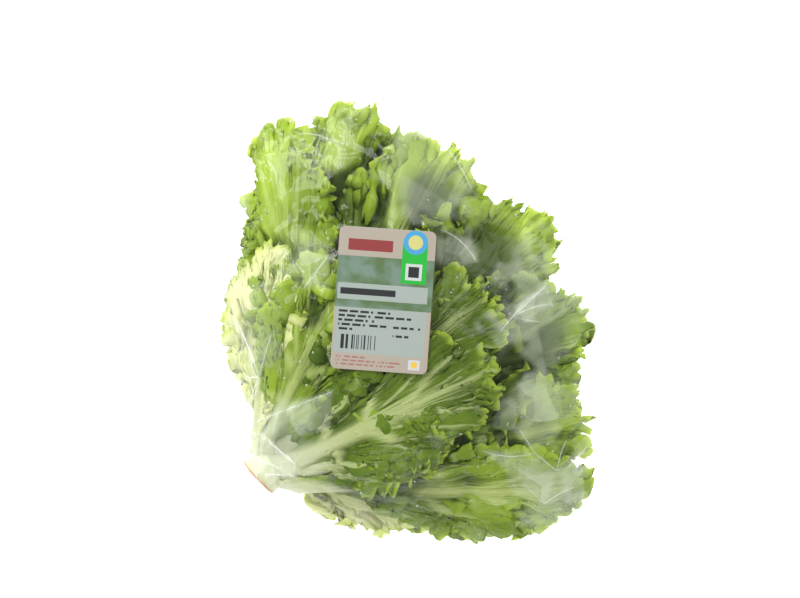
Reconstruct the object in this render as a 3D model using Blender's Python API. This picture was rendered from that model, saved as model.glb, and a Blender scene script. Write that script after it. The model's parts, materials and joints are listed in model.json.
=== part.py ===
"""A head of curly lettuce lying on its side in a clear film sleeve with a plain label.

Each leaf is a thin solid with a cut and waved rim, set round a short stem. The leaves are laid one on
another from the table up, then trimmed so that no two touch. The sleeve is a film stretched over them,
open past the tips. Metres, Z up, the butt to the lower left seen from above.
"""

import math
from dataclasses import dataclass
from enum import Enum

import bmesh
import bpy
import numpy as np

MM = 0.001
UP = np.array([0.0, 0.0, 1.0])

PLAN_SCALE = 0.65 * MM
BUTT_PLAN = (262.0, 474.0)
HEAD_TURN = math.radians(43.0)
BUTT_HEIGHT = 38 * MM
FLOOR = 1.7 * MM
FLOOR_SOFT = 3.0 * MM
CEILING = 101 * MM
CEILING_DROP = 36 * MM
CEILING_SOFT = 5.0 * MM
SQUEEZE = 0.9
WELDS = (0.01 * MM, 0.03 * MM, 0.06 * MM, 0.1 * MM)
SOUND = 0.001 * MM
MIDDLE = np.array([88.0, 98.0]) * MM
MIDDLE_RADII = np.array([132.0, 150.0]) * MM


class Place(Enum):
    """Where in the pile a leaf lies, which sets how finely its solid is cut."""

    UNDER = "under"
    HEART = "heart"
    OUTER = "outer"


@dataclass(frozen=True)
class Leaf:
    """One leaf. Lengths in mm, plan points as (right, down) on the plan grid, angles in degrees."""

    name: str
    place: Place
    tip: tuple[float, float]
    tip_height: float
    half_width: float
    azimuth: float
    start: float
    crest: float
    bow: float = 0.0
    roll: float = 0.0
    wrap: float = 6.0
    faces_down: bool = False
    curl: float = 0.28
    seed: int = 0


@dataclass(frozen=True)
class Frill:
    """One size of wave round a leaf's rim."""

    wave: float
    steepness: float
    depth: float
    limit: float


LONG_FRILL = Frill(62 * MM, 0.65, 95 * MM, 0.8)
MIDDLE_FRILL = Frill(25 * MM, 1.5, 40 * MM, 1.25)

LEAVES = (
    Leaf("leaf_under_right", Place.UNDER, (568, 500), 8, 42, 200, 2, 8, roll=5, wrap=4, faces_down=True, seed=1),
    Leaf("leaf_under_left", Place.UNDER, (330, 168), 8, 47, 150, 3, 10, roll=-8, wrap=4, faces_down=True, seed=2),
    Leaf("leaf_under_middle", Place.UNDER, (460, 205), 8, 76, 180, 8, 8, wrap=3, faces_down=True, seed=3),
    Leaf("leaf_under_low", Place.UNDER, (578, 385), 12, 70, 215, 12, 14, wrap=3, faces_down=True, seed=4),
    Leaf("leaf_under_high", Place.UNDER, (375, 140), 12, 58, 160, 16, 15, wrap=3, faces_down=True, seed=5),
    Leaf("leaf_heart_right", Place.HEART, (540, 300), 30, 64, 230, 30, 32, wrap=2, faces_down=True, seed=6),
    Leaf("leaf_heart_left", Place.HEART, (420, 165), 34, 60, 130, 34, 34, wrap=2, faces_down=True, seed=7),
    Leaf("leaf_heart_middle", Place.HEART, (500, 245), 60, 56, 20, 45, 52, wrap=3, seed=8),
    Leaf("leaf_heart_low", Place.HEART, (560, 425), 40, 44, -95, 26, 46, roll=-20, wrap=3, seed=9),
    Leaf("leaf_heart_high", Place.HEART, (340, 150), 46, 40, 95, 28, 50, roll=20, wrap=4, seed=10),
    Leaf("leaf_inner_high", Place.HEART, (405, 135), 62, 52, 30, 24, 66, wrap=4, seed=11),
    Leaf("leaf_inner_low", Place.HEART, (560, 330), 52, 60, -44, 22, 64, roll=-10, wrap=4, seed=12),
    Leaf("leaf_bottom_low", Place.UNDER, (425, 510), 14, 24, -125, 5, 18, bow=-6, roll=-16, wrap=5, seed=21),
    Leaf("leaf_top_back", Place.OUTER, (354, 98), 66, 44, 45, 18, 76, roll=8, wrap=6, seed=14),
    Leaf("leaf_upper_right", Place.OUTER, (452, 152), 70, 54, 20, 18, 76, wrap=4, seed=22),
    Leaf("leaf_right_back", Place.OUTER, (545, 214), 62, 51, 0, 18, 74, wrap=5, seed=15),
    Leaf("leaf_right_middle", Place.OUTER, (580, 300), 50, 50, -40, 16, 70, wrap=5, seed=23),
    Leaf("leaf_top_left", Place.OUTER, (277, 120), 60, 31, 60, 16, 70, bow=-7, roll=24, wrap=8, seed=13),
    Leaf("leaf_left_outer", Place.OUTER, (268, 242), 44, 27, 85, 4, 56, bow=1, roll=22, wrap=9, seed=17),
    Leaf("leaf_right_low", Place.OUTER, (590, 422), 40, 52, -70, 12, 60, roll=-15, wrap=6, seed=16),
    Leaf("leaf_bottom", Place.OUTER, (592, 490), 34, 33, -75, 2, 56, bow=-6, roll=-22, wrap=7, seed=20),
    Leaf("leaf_lower_front", Place.OUTER, (448, 440), 58, 25, -62, 16, 66, roll=-14, wrap=8, seed=25),
    Leaf("leaf_upper_front", Place.OUTER, (490, 294), 92, 50, 10, 14, 92, wrap=6, seed=18),
    Leaf("leaf_left_front", Place.OUTER, (350, 266), 88, 40, 50, 10, 84, roll=15, wrap=8, seed=24),
    Leaf("leaf_middle", Place.OUTER, (492, 366), 84, 40, -20, 8, 92, roll=-8, wrap=8, seed=19),
)

# rows from base to rim: share of the way, points across
ROWS = {
    Place.UNDER: ((0.0, 3), (0.16, 5), (0.36, 9), (0.58, 15), (0.8, 23), (1.0, 35)),
    Place.HEART: ((0.0, 3), (0.18, 5), (0.42, 9), (0.7, 15), (1.0, 25)),
    Place.OUTER: ((0.0, 3), (0.14, 5), (0.32, 9), (0.52, 15), (0.72, 23), (0.88, 33), (1.0, 49)),
}


def unit(v: np.ndarray) -> np.ndarray:
    """Vectors of length one."""
    return v / np.maximum(np.linalg.norm(v, axis=-1, keepdims=True), 1e-12)


def ease(a: float, b: float, x: np.ndarray) -> np.ndarray:
    """Nought at a, one at b, smooth between."""
    t = np.clip((x - a) / (b - a), 0, 1)
    return t * t * (3 - 2 * t)


def wander(x: np.ndarray, seed: int, low: float = 0.5, high: float = 1.5) -> np.ndarray:
    """Slow uneven values, about -1 to 1."""
    rng = np.random.default_rng(seed)
    out = np.zeros_like(x)
    for _ in range(4):
        out = out + np.sin(2 * np.pi * (rng.uniform(low, high) * x + rng.uniform()))
    return out / 2


HEAD_WAY = np.array([math.cos(HEAD_TURN), math.sin(HEAD_TURN), 0.0])
HEAD_SIDE = np.array([-HEAD_WAY[1], HEAD_WAY[0], 0.0])


@dataclass(frozen=True)
class Stem:
    """The short stem all the leaves grow from, along the head from its cut end."""

    length: float = 62 * MM
    cut_radius: float = 14 * MM
    far_radius: float = 5 * MM
    behind: float = 5 * MM

    def radius(self, along: float) -> float:
        """Args: along, metres from the butt. Returns: metres."""
        share = min(max(along / self.length, 0.0), 1.0)
        return self.cut_radius + (self.far_radius - self.cut_radius) * share


STEM = Stem()


class Rib:
    """A leaf's middle rib: a curve from the stem to the tip with a frame along it."""

    GAP = 2 * MM

    def __init__(self, leaf: Leaf):
        turn = math.radians(leaf.azimuth)
        self.radial = math.cos(turn) * UP + math.sin(turn) * HEAD_SIDE
        along = leaf.start * MM
        base = along * HEAD_WAY + (STEM.radius(along) + self.GAP) * self.radial + BUTT_HEIGHT * UP
        tip = np.array(
            [
                (leaf.tip[0] - BUTT_PLAN[0]) * PLAN_SCALE,
                (BUTT_PLAN[1] - leaf.tip[1]) * PLAN_SCALE,
                leaf.tip_height * MM,
            ]
        )
        way = unit(tip * np.array([1, 1, 0]))
        side = np.array([-way[1], way[0], 0.0])
        leave = unit(0.9 * HEAD_WAY + 0.7 * way + 0.35 * self.radial)
        first = base + leave * np.linalg.norm(tip - base) * 0.34 + side * leaf.bow * MM * 0.8
        second = base * 0.3 + tip * 0.7 + side * leaf.bow * MM
        second[2] = leaf.crest * MM
        self.points = (base, first, second, tip)
        self.shares = np.linspace(0, 1, 65)
        steps = np.linalg.norm(np.diff(self.curve(self.shares), axis=0), axis=1)
        self.lengths = np.concatenate([[0], np.cumsum(steps)])
        self.length = float(self.lengths[-1])
        roll = math.radians(leaf.roll)
        self.facing = math.cos(roll) * (-UP if leaf.faces_down else UP) + math.sin(roll) * side

    def curve(self, u: np.ndarray) -> np.ndarray:
        """Points of the curve at shares 0 to 1."""
        a, b, c, d = self.points
        u = u[..., None]
        return (1 - u) ** 3 * a + 3 * u * (1 - u) ** 2 * b + 3 * u * u * (1 - u) * c + u**3 * d

    def heading(self, u: np.ndarray) -> np.ndarray:
        """Unit directions of the curve."""
        a, b, c, d = self.points
        u = u[..., None]
        return unit((1 - u) ** 2 * (b - a) + 2 * u * (1 - u) * (c - b) + u * u * (d - c))

    def frame(self, y: np.ndarray) -> tuple[np.ndarray, np.ndarray, np.ndarray]:
        """Args: y, length along the rib. Returns: points, sideways and outward directions."""
        u = np.interp(y, self.lengths, self.shares)
        ahead = self.heading(u)
        at = self.curve(u) + ahead * np.maximum(y - self.length, 0)[..., None]
        k = ease(0.05, 0.5, u)[..., None]
        hint = (1 - k) * self.radial + k * self.facing
        out = unit(hint - (hint * ahead).sum(-1, keepdims=True) * ahead)
        return at, np.cross(ahead, out), out


def directions(p: np.ndarray) -> tuple[np.ndarray, np.ndarray, np.ndarray]:
    """Across, outward and normal directions of a grid of points."""
    across = unit(np.gradient(p, axis=1))
    outward = np.gradient(p, axis=0)
    return across, unit(outward), unit(np.cross(across, outward))


class Blade:
    """The surface of one leaf over s, 0 base to 1 rim, and t, -1 to 1 round the rim."""

    SPREAD = math.radians(143)
    WIDEST = 0.62
    DROP = 0.40
    BASE_HALF = 12 * MM
    BASE_ROUND = 20 * MM

    def __init__(self, leaf: Leaf):
        self.leaf = leaf
        self.rib = Rib(leaf)

    def flat(self, s: np.ndarray, t: np.ndarray) -> tuple[np.ndarray, np.ndarray]:
        """The leaf pressed flat: sideways and along. The veins are the lines of one t."""
        turn = t * self.SPREAD
        length = self.rib.length
        widest = self.WIDEST * length
        grow = 1 + 0.04 * wander(t * 1.1, self.leaf.seed + 5)
        rim_x = self.leaf.half_width * MM * np.sin(turn) * grow
        reach = np.where(np.cos(turn) > 0, length - widest, self.DROP * length)
        rim_y = widest + reach * np.cos(turn) * grow
        base_x = self.BASE_HALF * t
        bend_x = 0.8 * base_x
        bend_y = widest * (1.05 - 0.85 * np.abs(t) ** 1.2)
        x = (1 - s) ** 2 * base_x + 2 * s * (1 - s) * bend_x + s * s * rim_x
        y = 2 * s * (1 - s) * bend_y + s * s * rim_y
        return x, y

    def surface(self, s: np.ndarray, t: np.ndarray) -> np.ndarray:
        """The flat leaf laid along its rib and bent round it."""
        x, y = self.flat(s, t)
        at, side, out = self.rib.frame(y)
        bare = 1 - ease(0.0, 0.35, y / self.rib.length)
        bend = bare / self.BASE_ROUND + (1 - bare) * self.leaf.wrap
        return at + (np.sin(bend * x) / bend)[..., None] * side - ((1 - np.cos(bend * x)) / bend)[..., None] * out

    def formed(self, s: np.ndarray, t: np.ndarray, frills: tuple[Frill, ...]) -> np.ndarray:
        """The surface with its rim curled and waved."""
        p = smooth = self.curled(self.surface(s, t), s)
        for frill in frills:
            p = self.frilled(p, smooth, s, t, frill)
        return p

    def curled(self, p: np.ndarray, s: np.ndarray) -> np.ndarray:
        """The rim turned up or down, uneven along it."""
        across, outward, normal = directions(p)
        steps = np.diff(p, axis=0)
        size = np.linalg.norm(steps, axis=2, keepdims=True)
        ahead, up = unit(steps), (normal[1:] + normal[:-1]) / 2
        q = np.broadcast_to(self.rim_share(p)[0], s.shape)
        turn = -self.leaf.curl * (0.5 + 0.9 * wander(q * 1.2, self.leaf.seed + 31, 0.8, 2.0))
        turn = turn * ease(45 * MM, 0, self.from_rim(p)) * ease(0.98, 0.6, np.abs(q)) * ease(0.3, 0.6, s)
        half = ((turn[1:] + turn[:-1]) / 2)[..., None]
        moved = np.cumsum((np.cos(half) * ahead + np.sin(half) * up - ahead) * size, axis=0)
        return p + np.concatenate([np.zeros((1,) + p.shape[1:]), moved])

    def frilled(
        self, p: np.ndarray, smooth: np.ndarray, s: np.ndarray, t: np.ndarray, frill: Frill
    ) -> np.ndarray:
        """The rim longer than it has room for, so that it waves.

        Args:
            p: the leaf's points.
            smooth: the leaf before any waves, which sets where each one falls.
            s, t: where on the leaf.
            frill: the size of wave.
        Returns:
            The waved points.
        """
        across, outward, normal = directions(p)
        size = np.linalg.norm(np.diff(smooth, axis=1), axis=2)
        depth = self.from_rim(smooth)
        share, total = self.rim_share(smooth)
        q = np.broadcast_to(share, s.shape)
        ends = ease(1.0, 0.86, np.abs(t)) * ease(0.1, 0.4, s)
        waves, key = total / frill.wave / 2, round(frill.wave / MM)
        rng = np.random.default_rng(self.leaf.seed * 7 + key)
        phase = 1.3 * wander(q * waves / 5, self.leaf.seed + key) + rng.uniform(0, 2 * np.pi)
        phase = phase + depth / frill.wave * rng.uniform(-1.5, 1.5)
        uneven = 1 + 0.45 * wander(q * waves / 4, self.leaf.seed + 7 * key)
        amount = frill.steepness * ease(frill.depth, 0, depth) * ends
        steep = frill.limit * np.tanh(amount * uneven * np.sin(2 * np.pi * waves * q + phase) / frill.limit)
        half = (steep[:, 1:] + steep[:, :-1]) / 2
        window = max(3, round(p.shape[1] * frill.wave / total * 1.3) | 1)
        short = np.maximum(self.even(np.cos(half) * size, window), 0.5 * self.even(size, window))
        more = self.even(size, window) / short
        nought = np.zeros((len(s), 1))
        along = np.concatenate([nought, np.cumsum(size * (np.cos(half) * more - 1), 1)], 1)
        rise = np.concatenate([nought, np.cumsum(size * np.sin(half) * more, 1)], 1)
        quiet = ease(1.0, 0.8, np.abs(q))
        along = (along - self.even(along, window, odd=True)) * quiet
        rise = (rise - self.even(rise, window, odd=True)) * quiet
        return p + along[..., None] * across + rise[..., None] * normal

    @staticmethod
    def even(rows: np.ndarray, window: int, odd: bool = False) -> np.ndarray:
        """Each row averaged over a window of columns."""
        kernel = np.hanning(window + 2)[1:-1]
        kernel = kernel / kernel.sum()
        pad = ((0, 0), (window // 2, window // 2))
        wide = np.pad(rows, pad, mode="reflect", reflect_type="odd") if odd else np.pad(rows, pad, mode="edge")
        return np.stack([np.convolve(row, kernel, "valid") for row in wide])

    @staticmethod
    def from_rim(p: np.ndarray) -> np.ndarray:
        """How far each point is from the rim along its vein."""
        size = np.linalg.norm(np.diff(p, axis=0), axis=2)
        return np.concatenate([np.cumsum(size[::-1], 0)[::-1], np.zeros((1, p.shape[1]))])

    @staticmethod
    def rim_share(p: np.ndarray) -> tuple[np.ndarray, float]:
        """Where each column is along the rim, -1 to 1, and the rim's length."""
        size = np.concatenate([[0], np.cumsum(np.linalg.norm(np.diff(p[-1], axis=0), axis=1))])
        return 2 * size / size[-1] - 1, float(size[-1])


def between_table_and_film(p: np.ndarray) -> np.ndarray:
    """Points kept softly above the table and under the film."""
    away = np.linalg.norm((p[..., :2] - MIDDLE) / MIDDLE_RADII, axis=-1)
    ceiling = CEILING - CEILING_DROP * np.minimum(away, 1.15) ** 3
    p = p.copy()
    p[..., 2] = FLOOR + (p[..., 2] - FLOOR) * SQUEEZE
    p[..., 2] = ceiling - CEILING_SOFT * np.logaddexp(0, (ceiling - p[..., 2]) / CEILING_SOFT)
    p[..., 2] = FLOOR + FLOOR_SOFT * np.logaddexp(0, (p[..., 2] - FLOOR) / FLOOR_SOFT)
    return p


class Ground:
    """Highest point so far over a square grid of cells."""

    CELL = 3 * MM
    HALF = 0.34

    def __init__(self) -> None:
        count = int(2 * self.HALF / self.CELL)
        self.top = np.full((count, count), FLOOR)

    def cells(self, p: np.ndarray) -> tuple[np.ndarray, np.ndarray]:
        """Which cell each point is over."""
        ij = ((p[..., :2] + self.HALF) / self.CELL).astype(int).clip(0, len(self.top) - 1)
        return ij[..., 0], ij[..., 1]

    def lay(self, p: np.ndarray) -> None:
        """Raises the ground to a grid of points, filled in between them."""
        fine = finer(p, 4)
        np.maximum.at(self.top, self.cells(fine), fine[..., 2])
        self.top = np.maximum(self.top, around(self.top, np.maximum) - 1.5 * MM)


def around(field: np.ndarray, pick) -> np.ndarray:
    """The greatest or least of each cell and its four neighbours."""
    out = field.copy()
    out[1:] = pick(out[1:], field[:-1])
    out[:-1] = pick(out[:-1], field[1:])
    out[:, 1:] = pick(out[:, 1:], field[:, :-1])
    out[:, :-1] = pick(out[:, :-1], field[:, 1:])
    return out


def at_grid(grid: np.ndarray, a: np.ndarray, b: np.ndarray) -> np.ndarray:
    """Values of a grid at rows a and columns b, straight between its points."""
    i = np.clip(a.astype(int), 0, grid.shape[0] - 2)
    j = np.clip(b.astype(int), 0, grid.shape[1] - 2)
    fa, fb = a - i, b - j
    if grid.ndim == 3:
        fa, fb = fa[..., None], fb[..., None]
    low = (1 - fb) * grid[i, j] + fb * grid[i, j + 1]
    high = (1 - fb) * grid[i + 1, j] + fb * grid[i + 1, j + 1]
    return (1 - fa) * low + fa * high


def finer(grid: np.ndarray, times: int) -> np.ndarray:
    """A grid of points with more between them."""
    a = np.linspace(0, grid.shape[0] - 1, (grid.shape[0] - 1) * times + 1)
    b = np.linspace(0, grid.shape[1] - 1, (grid.shape[1] - 1) * times + 1)
    return at_grid(grid, *np.meshgrid(a, b, indexing="ij"))


class Pile:
    """Lays the leaves on the table one after another and keeps how far each one rises."""

    ROWS, COLUMNS = 21, 97
    GAP = 3.0 * MM
    STALK_GAP = 2.0 * MM

    def __init__(self, leaves: tuple[Leaf, ...]):
        self.s, self.t = np.meshgrid(
            np.linspace(0, 1, self.ROWS), np.linspace(-1, 1, self.COLUMNS), indexing="ij"
        )
        self.ground = Ground()
        self.rises: dict[str, np.ndarray] = {}
        for leaf in leaves:
            self.rises[leaf.name] = self.lay(leaf)

    def lay(self, leaf: Leaf) -> np.ndarray:
        """Returns: the rise over the leaf's own grid."""
        p = Blade(leaf).formed(self.s, self.t, (LONG_FRILL,))
        free = ease(10 * MM, 60 * MM, np.linalg.norm(p[..., :2], axis=-1))
        gap = self.GAP + self.STALK_GAP * (1 - self.s) ** 2
        need = (self.ground.top[self.ground.cells(p)] + gap - p[..., 2]) * free
        need = np.maximum(np.maximum(need, FLOOR + 2 * MM - p[..., 2]), 0)
        rise = need
        for _ in range(14):
            rise = np.maximum(need, self.mean(rise) * 0.985)
        for _ in range(2):
            rise = self.mean(rise)
        p[..., 2] += rise
        self.ground.lay(p)
        return rise

    @staticmethod
    def mean(grid: np.ndarray) -> np.ndarray:
        """Mean over near rows and columns."""
        q = np.pad(grid, ((1, 1), (2, 2)), mode="edge")
        wide = (q[:, 4:] + q[:, 3:-1] + q[:, 2:-2] + q[:, 1:-3] + q[:, :-4]) / 5
        return (wide[2:] + 2 * wide[1:-1] + wide[:-2]) / 4

    def risen(self, leaf: Leaf, s: np.ndarray, t: np.ndarray) -> np.ndarray:
        """How far the leaf rises at any s and t."""
        return at_grid(self.rises[leaf.name], s * (self.ROWS - 1), (t + 1) / 2 * (self.COLUMNS - 1))


class LeafForm:
    """A leaf in its place in the pile, as a fine grid to take points from."""

    GRID = (31, 193)

    def __init__(self, leaf: Leaf, pile: Pile, frills: tuple[Frill, ...]):
        self.leaf = leaf
        s, t = np.meshgrid(
            1 - (1 - np.linspace(0, 1, self.GRID[0])) ** 1.35, np.linspace(-1, 1, self.GRID[1]), indexing="ij"
        )
        p = Blade(leaf).formed(s, t, frills)
        p[..., 2] += pile.risen(leaf, s, t)
        self.points = between_table_and_film(p)
        self.across, self.outward, self.normal = directions(self.points)

    def take(self, field: np.ndarray, s: float, t: np.ndarray) -> np.ndarray:
        """Values of one of the grids along a row."""
        a = (1 - (1 - s) ** (1 / 1.35)) * (self.GRID[0] - 1)
        return at_grid(field, np.full_like(t, a), (t + 1) / 2 * (self.GRID[1] - 1))


def mesh_object(name: str, points: np.ndarray, faces: list[tuple[int, ...]]) -> bpy.types.Object:
    """A new object in the scene."""
    mesh = bpy.data.meshes.new(name)
    mesh.from_pydata([tuple(map(float, p)) for p in points], [], faces)
    mesh.update()
    made = bpy.data.objects.new(name, mesh)
    bpy.context.scene.collection.objects.link(made)
    return made


def zipped(first: list[int], second: list[int]) -> list[tuple[int, int, int]]:
    """Triangles between two rows of points that span the same width."""
    faces, i, j = [], 0, 0
    while i < len(first) - 1 or j < len(second) - 1:
        next_first = (i + 1) / (len(first) - 1) if i < len(first) - 1 else 2.0
        next_second = (j + 1) / (len(second) - 1) if j < len(second) - 1 else 2.0
        if next_first < next_second:
            faces.append((first[i], first[i + 1], second[j]))
            i += 1
        else:
            faces.append((first[i], second[j + 1], second[j]))
            j += 1
    return faces


class LeafSolid:
    """A leaf as a closed thin solid, both faces cut into the same triangles."""

    BLADE = 0.7 * MM
    RIB = 2.6 * MM
    TOOTH_OUT = 4.5 * MM
    TOOTH_IN = -2.5 * MM
    STEEPEST = 0.4
    UNFOLD_ROUNDS = 80
    LEAST_SHARE = 0.04

    def __init__(self, form: LeafForm):
        self.leaf = form.leaf
        middle, outward, across, thick, self.rows = [], [], [], [], []
        for s, count in ROWS[form.leaf.place]:
            t = np.linspace(-1, 1, count)
            first = sum(len(row) for row in self.rows)
            self.rows.append(list(range(first, first + count)))
            middle.append(form.take(form.points, s, t))
            outward.append(form.take(form.outward, s, t))
            across.append(form.take(form.across, s, t))
            thick.append(self.BLADE + self.RIB * (1 - s) ** 2.2 * (1 - 0.75 * np.abs(t) ** 1.5))
        self.middle, self.thick = np.concatenate(middle), np.concatenate(thick)
        self.outward, self.across = unit(np.concatenate(outward)), unit(np.concatenate(across))
        rim = self.rows[-1]
        tooth = np.where(np.arange(len(rim)) % 2 == 0, self.TOOTH_OUT, self.TOOTH_IN)
        tooth = tooth * ease(1.0, 0.9, np.abs(np.linspace(-1, 1, len(rim))))
        self.middle[rim] += self.outward[rim] * tooth[:, None]
        self.faces = [face for a, b in zip(self.rows, self.rows[1:]) for face in zipped(a, b)]
        self.unfold()

    def plan_areas(self) -> np.ndarray:
        """Each facet's area seen from above, less than nought where it is folded under."""
        a, b, c = (self.middle[np.array(self.faces)[:, k], :2] for k in range(3))
        areas = ((b - a)[:, 0] * (c - a)[:, 1] - (b - a)[:, 1] * (c - a)[:, 0]) / 2
        return areas * np.sign(areas.sum())

    def unfold(self) -> None:
        """Evens out the points where the leaf doubles back under itself, seen from above."""
        faces = np.array(self.faces)
        ends = np.concatenate([faces[:, [0, 1]], faces[:, [1, 2]], faces[:, [2, 0]]])
        ends = np.unique(np.concatenate([ends, ends[:, ::-1]]), axis=0)
        count = np.bincount(ends[:, 0], minlength=len(self.middle))[:, None]
        for _ in range(self.UNFOLD_ROUNDS):
            areas = self.plan_areas()
            bad = areas < self.LEAST_SHARE * np.abs(areas).mean()
            if not bad.any():
                break
            total = np.zeros_like(self.middle)
            np.add.at(total, ends[:, 0], self.middle[ends[:, 1]])
            moving = np.unique(faces[bad])
            self.middle[moving] = 0.6 * self.middle[moving] + 0.4 * (total / count)[moving]

    def upright(self) -> np.ndarray:
        """The leaf's thickness measured straight up at each point."""
        faces = np.array(self.faces)
        a, b, c = (self.middle[faces[:, k]] for k in range(3))
        flat = unit(np.cross(b - a, c - a))
        total = np.zeros_like(self.middle)
        for k in range(3):
            np.add.at(total, faces[:, k], flat)
        return self.thick / np.abs(unit(total)[:, 2]).clip(self.STEEPEST, 1)

    def object(self, name: str, swell: float = 0.0) -> bpy.types.Object:
        """Args: swell, how much bigger than the leaf on every side. Returns: the object."""
        middle, rows = self.middle.copy(), self.rows
        middle[rows[-1]] += self.outward[rows[-1]] * swell
        middle[rows[0]] -= self.outward[rows[0]] * swell
        for row in rows:
            middle[row[0]] -= self.across[row[0]] * swell
            middle[row[-1]] += self.across[row[-1]] * swell
        offset = UP * (self.upright() / 2 + swell)[:, None]
        total = len(middle)
        bottom = [(c + total, b + total, a + total) for a, b, c in self.faces]
        ring = rows[0] + [row[-1] for row in rows[1:-1]] + rows[-1][::-1] + [row[0] for row in rows[-2:0:-1]]
        wall = []
        for a, b in zip(ring, ring[1:] + ring[:1]):
            wall += [(a, a + total, b), (b, a + total, b + total)]
        made = mesh_object(name, np.concatenate([middle + offset, middle - offset]), self.faces + bottom + wall)
        face_out(made)
        return made


class Settling:
    """Raises the solids' own points until no facet dips into the leaf beneath it."""

    GAP = 1.9 * MM
    ROUNDS = 3
    MOST = 9 * MM
    STEPS = 5

    def __init__(self) -> None:
        self.ground = Ground()
        shares = [(i, j, self.STEPS - i - j) for i in range(self.STEPS + 1) for j in range(self.STEPS + 1 - i)]
        self.shares = np.array(shares) / self.STEPS

    def spots(self, solid: LeafSolid) -> np.ndarray:
        """Points spread over each facet."""
        return np.einsum("kc,ncx->nkx", self.shares, solid.middle[np.array(solid.faces)])

    def settle(self, solid: LeafSolid) -> None:
        """Raises one solid on those before it and adds it to the ground."""
        faces = np.array(solid.faces)
        thick = solid.upright()[faces].mean(1)[:, None]
        total = np.zeros(len(solid.middle))
        for _ in range(self.ROUNDS):
            spots = self.spots(solid)
            free = ease(10 * MM, 60 * MM, np.linalg.norm(spots[..., :2], axis=-1))
            need = (self.ground.top[self.ground.cells(spots)] + self.GAP + thick - spots[..., 2]) * free
            rise = np.zeros(len(solid.middle))
            for corner in range(3):
                np.maximum.at(rise, faces[:, corner], need.max(1))
            rise = np.minimum(rise.clip(0) * 0.8, self.MOST - total)
            total += rise
            solid.middle[:, 2] += rise
        spots = self.spots(solid)
        tall = spots[..., 2] + thick / 2
        np.maximum.at(self.ground.top, self.ground.cells(spots), tall)
        self.ground.top = np.maximum(self.ground.top, around(self.ground.top, np.maximum) - 1.5 * MM)


def face_out(thing: bpy.types.Object) -> None:
    """Turns the faces of a closed mesh outward."""
    work = bmesh.new()
    work.from_mesh(thing.data)
    bmesh.ops.recalc_face_normals(work, faces=work.faces)
    if work.calc_volume(signed=True) < 0:
        bmesh.ops.reverse_faces(work, faces=work.faces)
    work.to_mesh(thing.data)
    work.free()


def signed_volume(faces: list[bmesh.types.BMFace]) -> float:
    """Volume inside some triangles, less where they face inward."""
    return sum(f.verts[0].co.dot(f.verts[1].co.cross(f.verts[2].co)) for f in faces) / 6


def is_sound(thing: bpy.types.Object) -> bool:
    """Whether every edge has two faces once corners less than a thousandth apart are one."""
    points = np.array([v.co for v in thing.data.vertices], np.float32).astype(float)
    _, corner = np.unique(np.round(points / SOUND).astype(np.int64), axis=0, return_inverse=True)
    corner = corner.reshape(-1)
    faces = corner[np.array([tuple(f.vertices) for f in thing.data.polygons])]
    faces = faces[(faces[:, 0] != faces[:, 1]) & (faces[:, 1] != faces[:, 2]) & (faces[:, 0] != faces[:, 2])]
    ends = np.sort(np.concatenate([faces[:, [0, 1]], faces[:, [1, 2]], faces[:, [2, 0]]]), axis=1)
    return bool((np.unique(ends, axis=0, return_counts=True)[1] == 2).all())


def keep_largest(thing: bpy.types.Object, weld: float) -> None:
    """Joins corners closer than the weld and drops all but the largest separate piece."""
    work = bmesh.new()
    work.from_mesh(thing.data)
    bmesh.ops.remove_doubles(work, verts=work.verts, dist=weld)
    bmesh.ops.dissolve_degenerate(work, edges=work.edges, dist=weld)
    bmesh.ops.triangulate(work, faces=work.faces)
    left, pieces = set(work.faces), []
    while left:
        piece, edge = [], [left.pop()]
        while edge:
            face = edge.pop()
            piece.append(face)
            for side in face.edges:
                if len(side.link_faces) != 2:
                    continue
                for other in side.link_faces:
                    if other in left:
                        left.remove(other)
                        edge.append(other)
        pieces.append(piece)
    pieces.sort(key=signed_volume)
    for piece in pieces[:-1]:
        bmesh.ops.delete(work, geom=piece, context="FACES")
    bmesh.ops.delete(work, geom=[v for v in work.verts if not v.link_faces], context="VERTS")
    work.to_mesh(thing.data)
    work.free()


def cut_by(thing: bpy.types.Object, cutters: list[bpy.types.Object]) -> None:
    """Takes the cutters away from a mesh and keeps its largest piece."""
    box = bpy.data.collections.new("cutters")
    for cutter in cutters:
        box.objects.link(cutter)
    step = thing.modifiers.new("trim", "BOOLEAN")
    step.operation = "DIFFERENCE"
    step.operand_type = "COLLECTION"
    step.collection = box
    step.solver = "MANIFOLD"
    whole = thing.data
    for weld in WELDS:
        thing.data = whole
        step.show_viewport = True
        graph = bpy.context.evaluated_depsgraph_get()
        mesh = bpy.data.meshes.new_from_object(thing.evaluated_get(graph))
        step.show_viewport = False
        thing.data = mesh
        keep_largest(thing, weld)
        if is_sound(thing):
            break
    thing.modifiers.remove(step)
    bpy.data.collections.remove(box)


def box_of(thing: bpy.types.Object) -> tuple[np.ndarray, np.ndarray]:
    """Lowest and highest corner of a mesh."""
    p = np.array([v.co for v in thing.data.vertices])
    return p.min(0), p.max(0)


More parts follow.
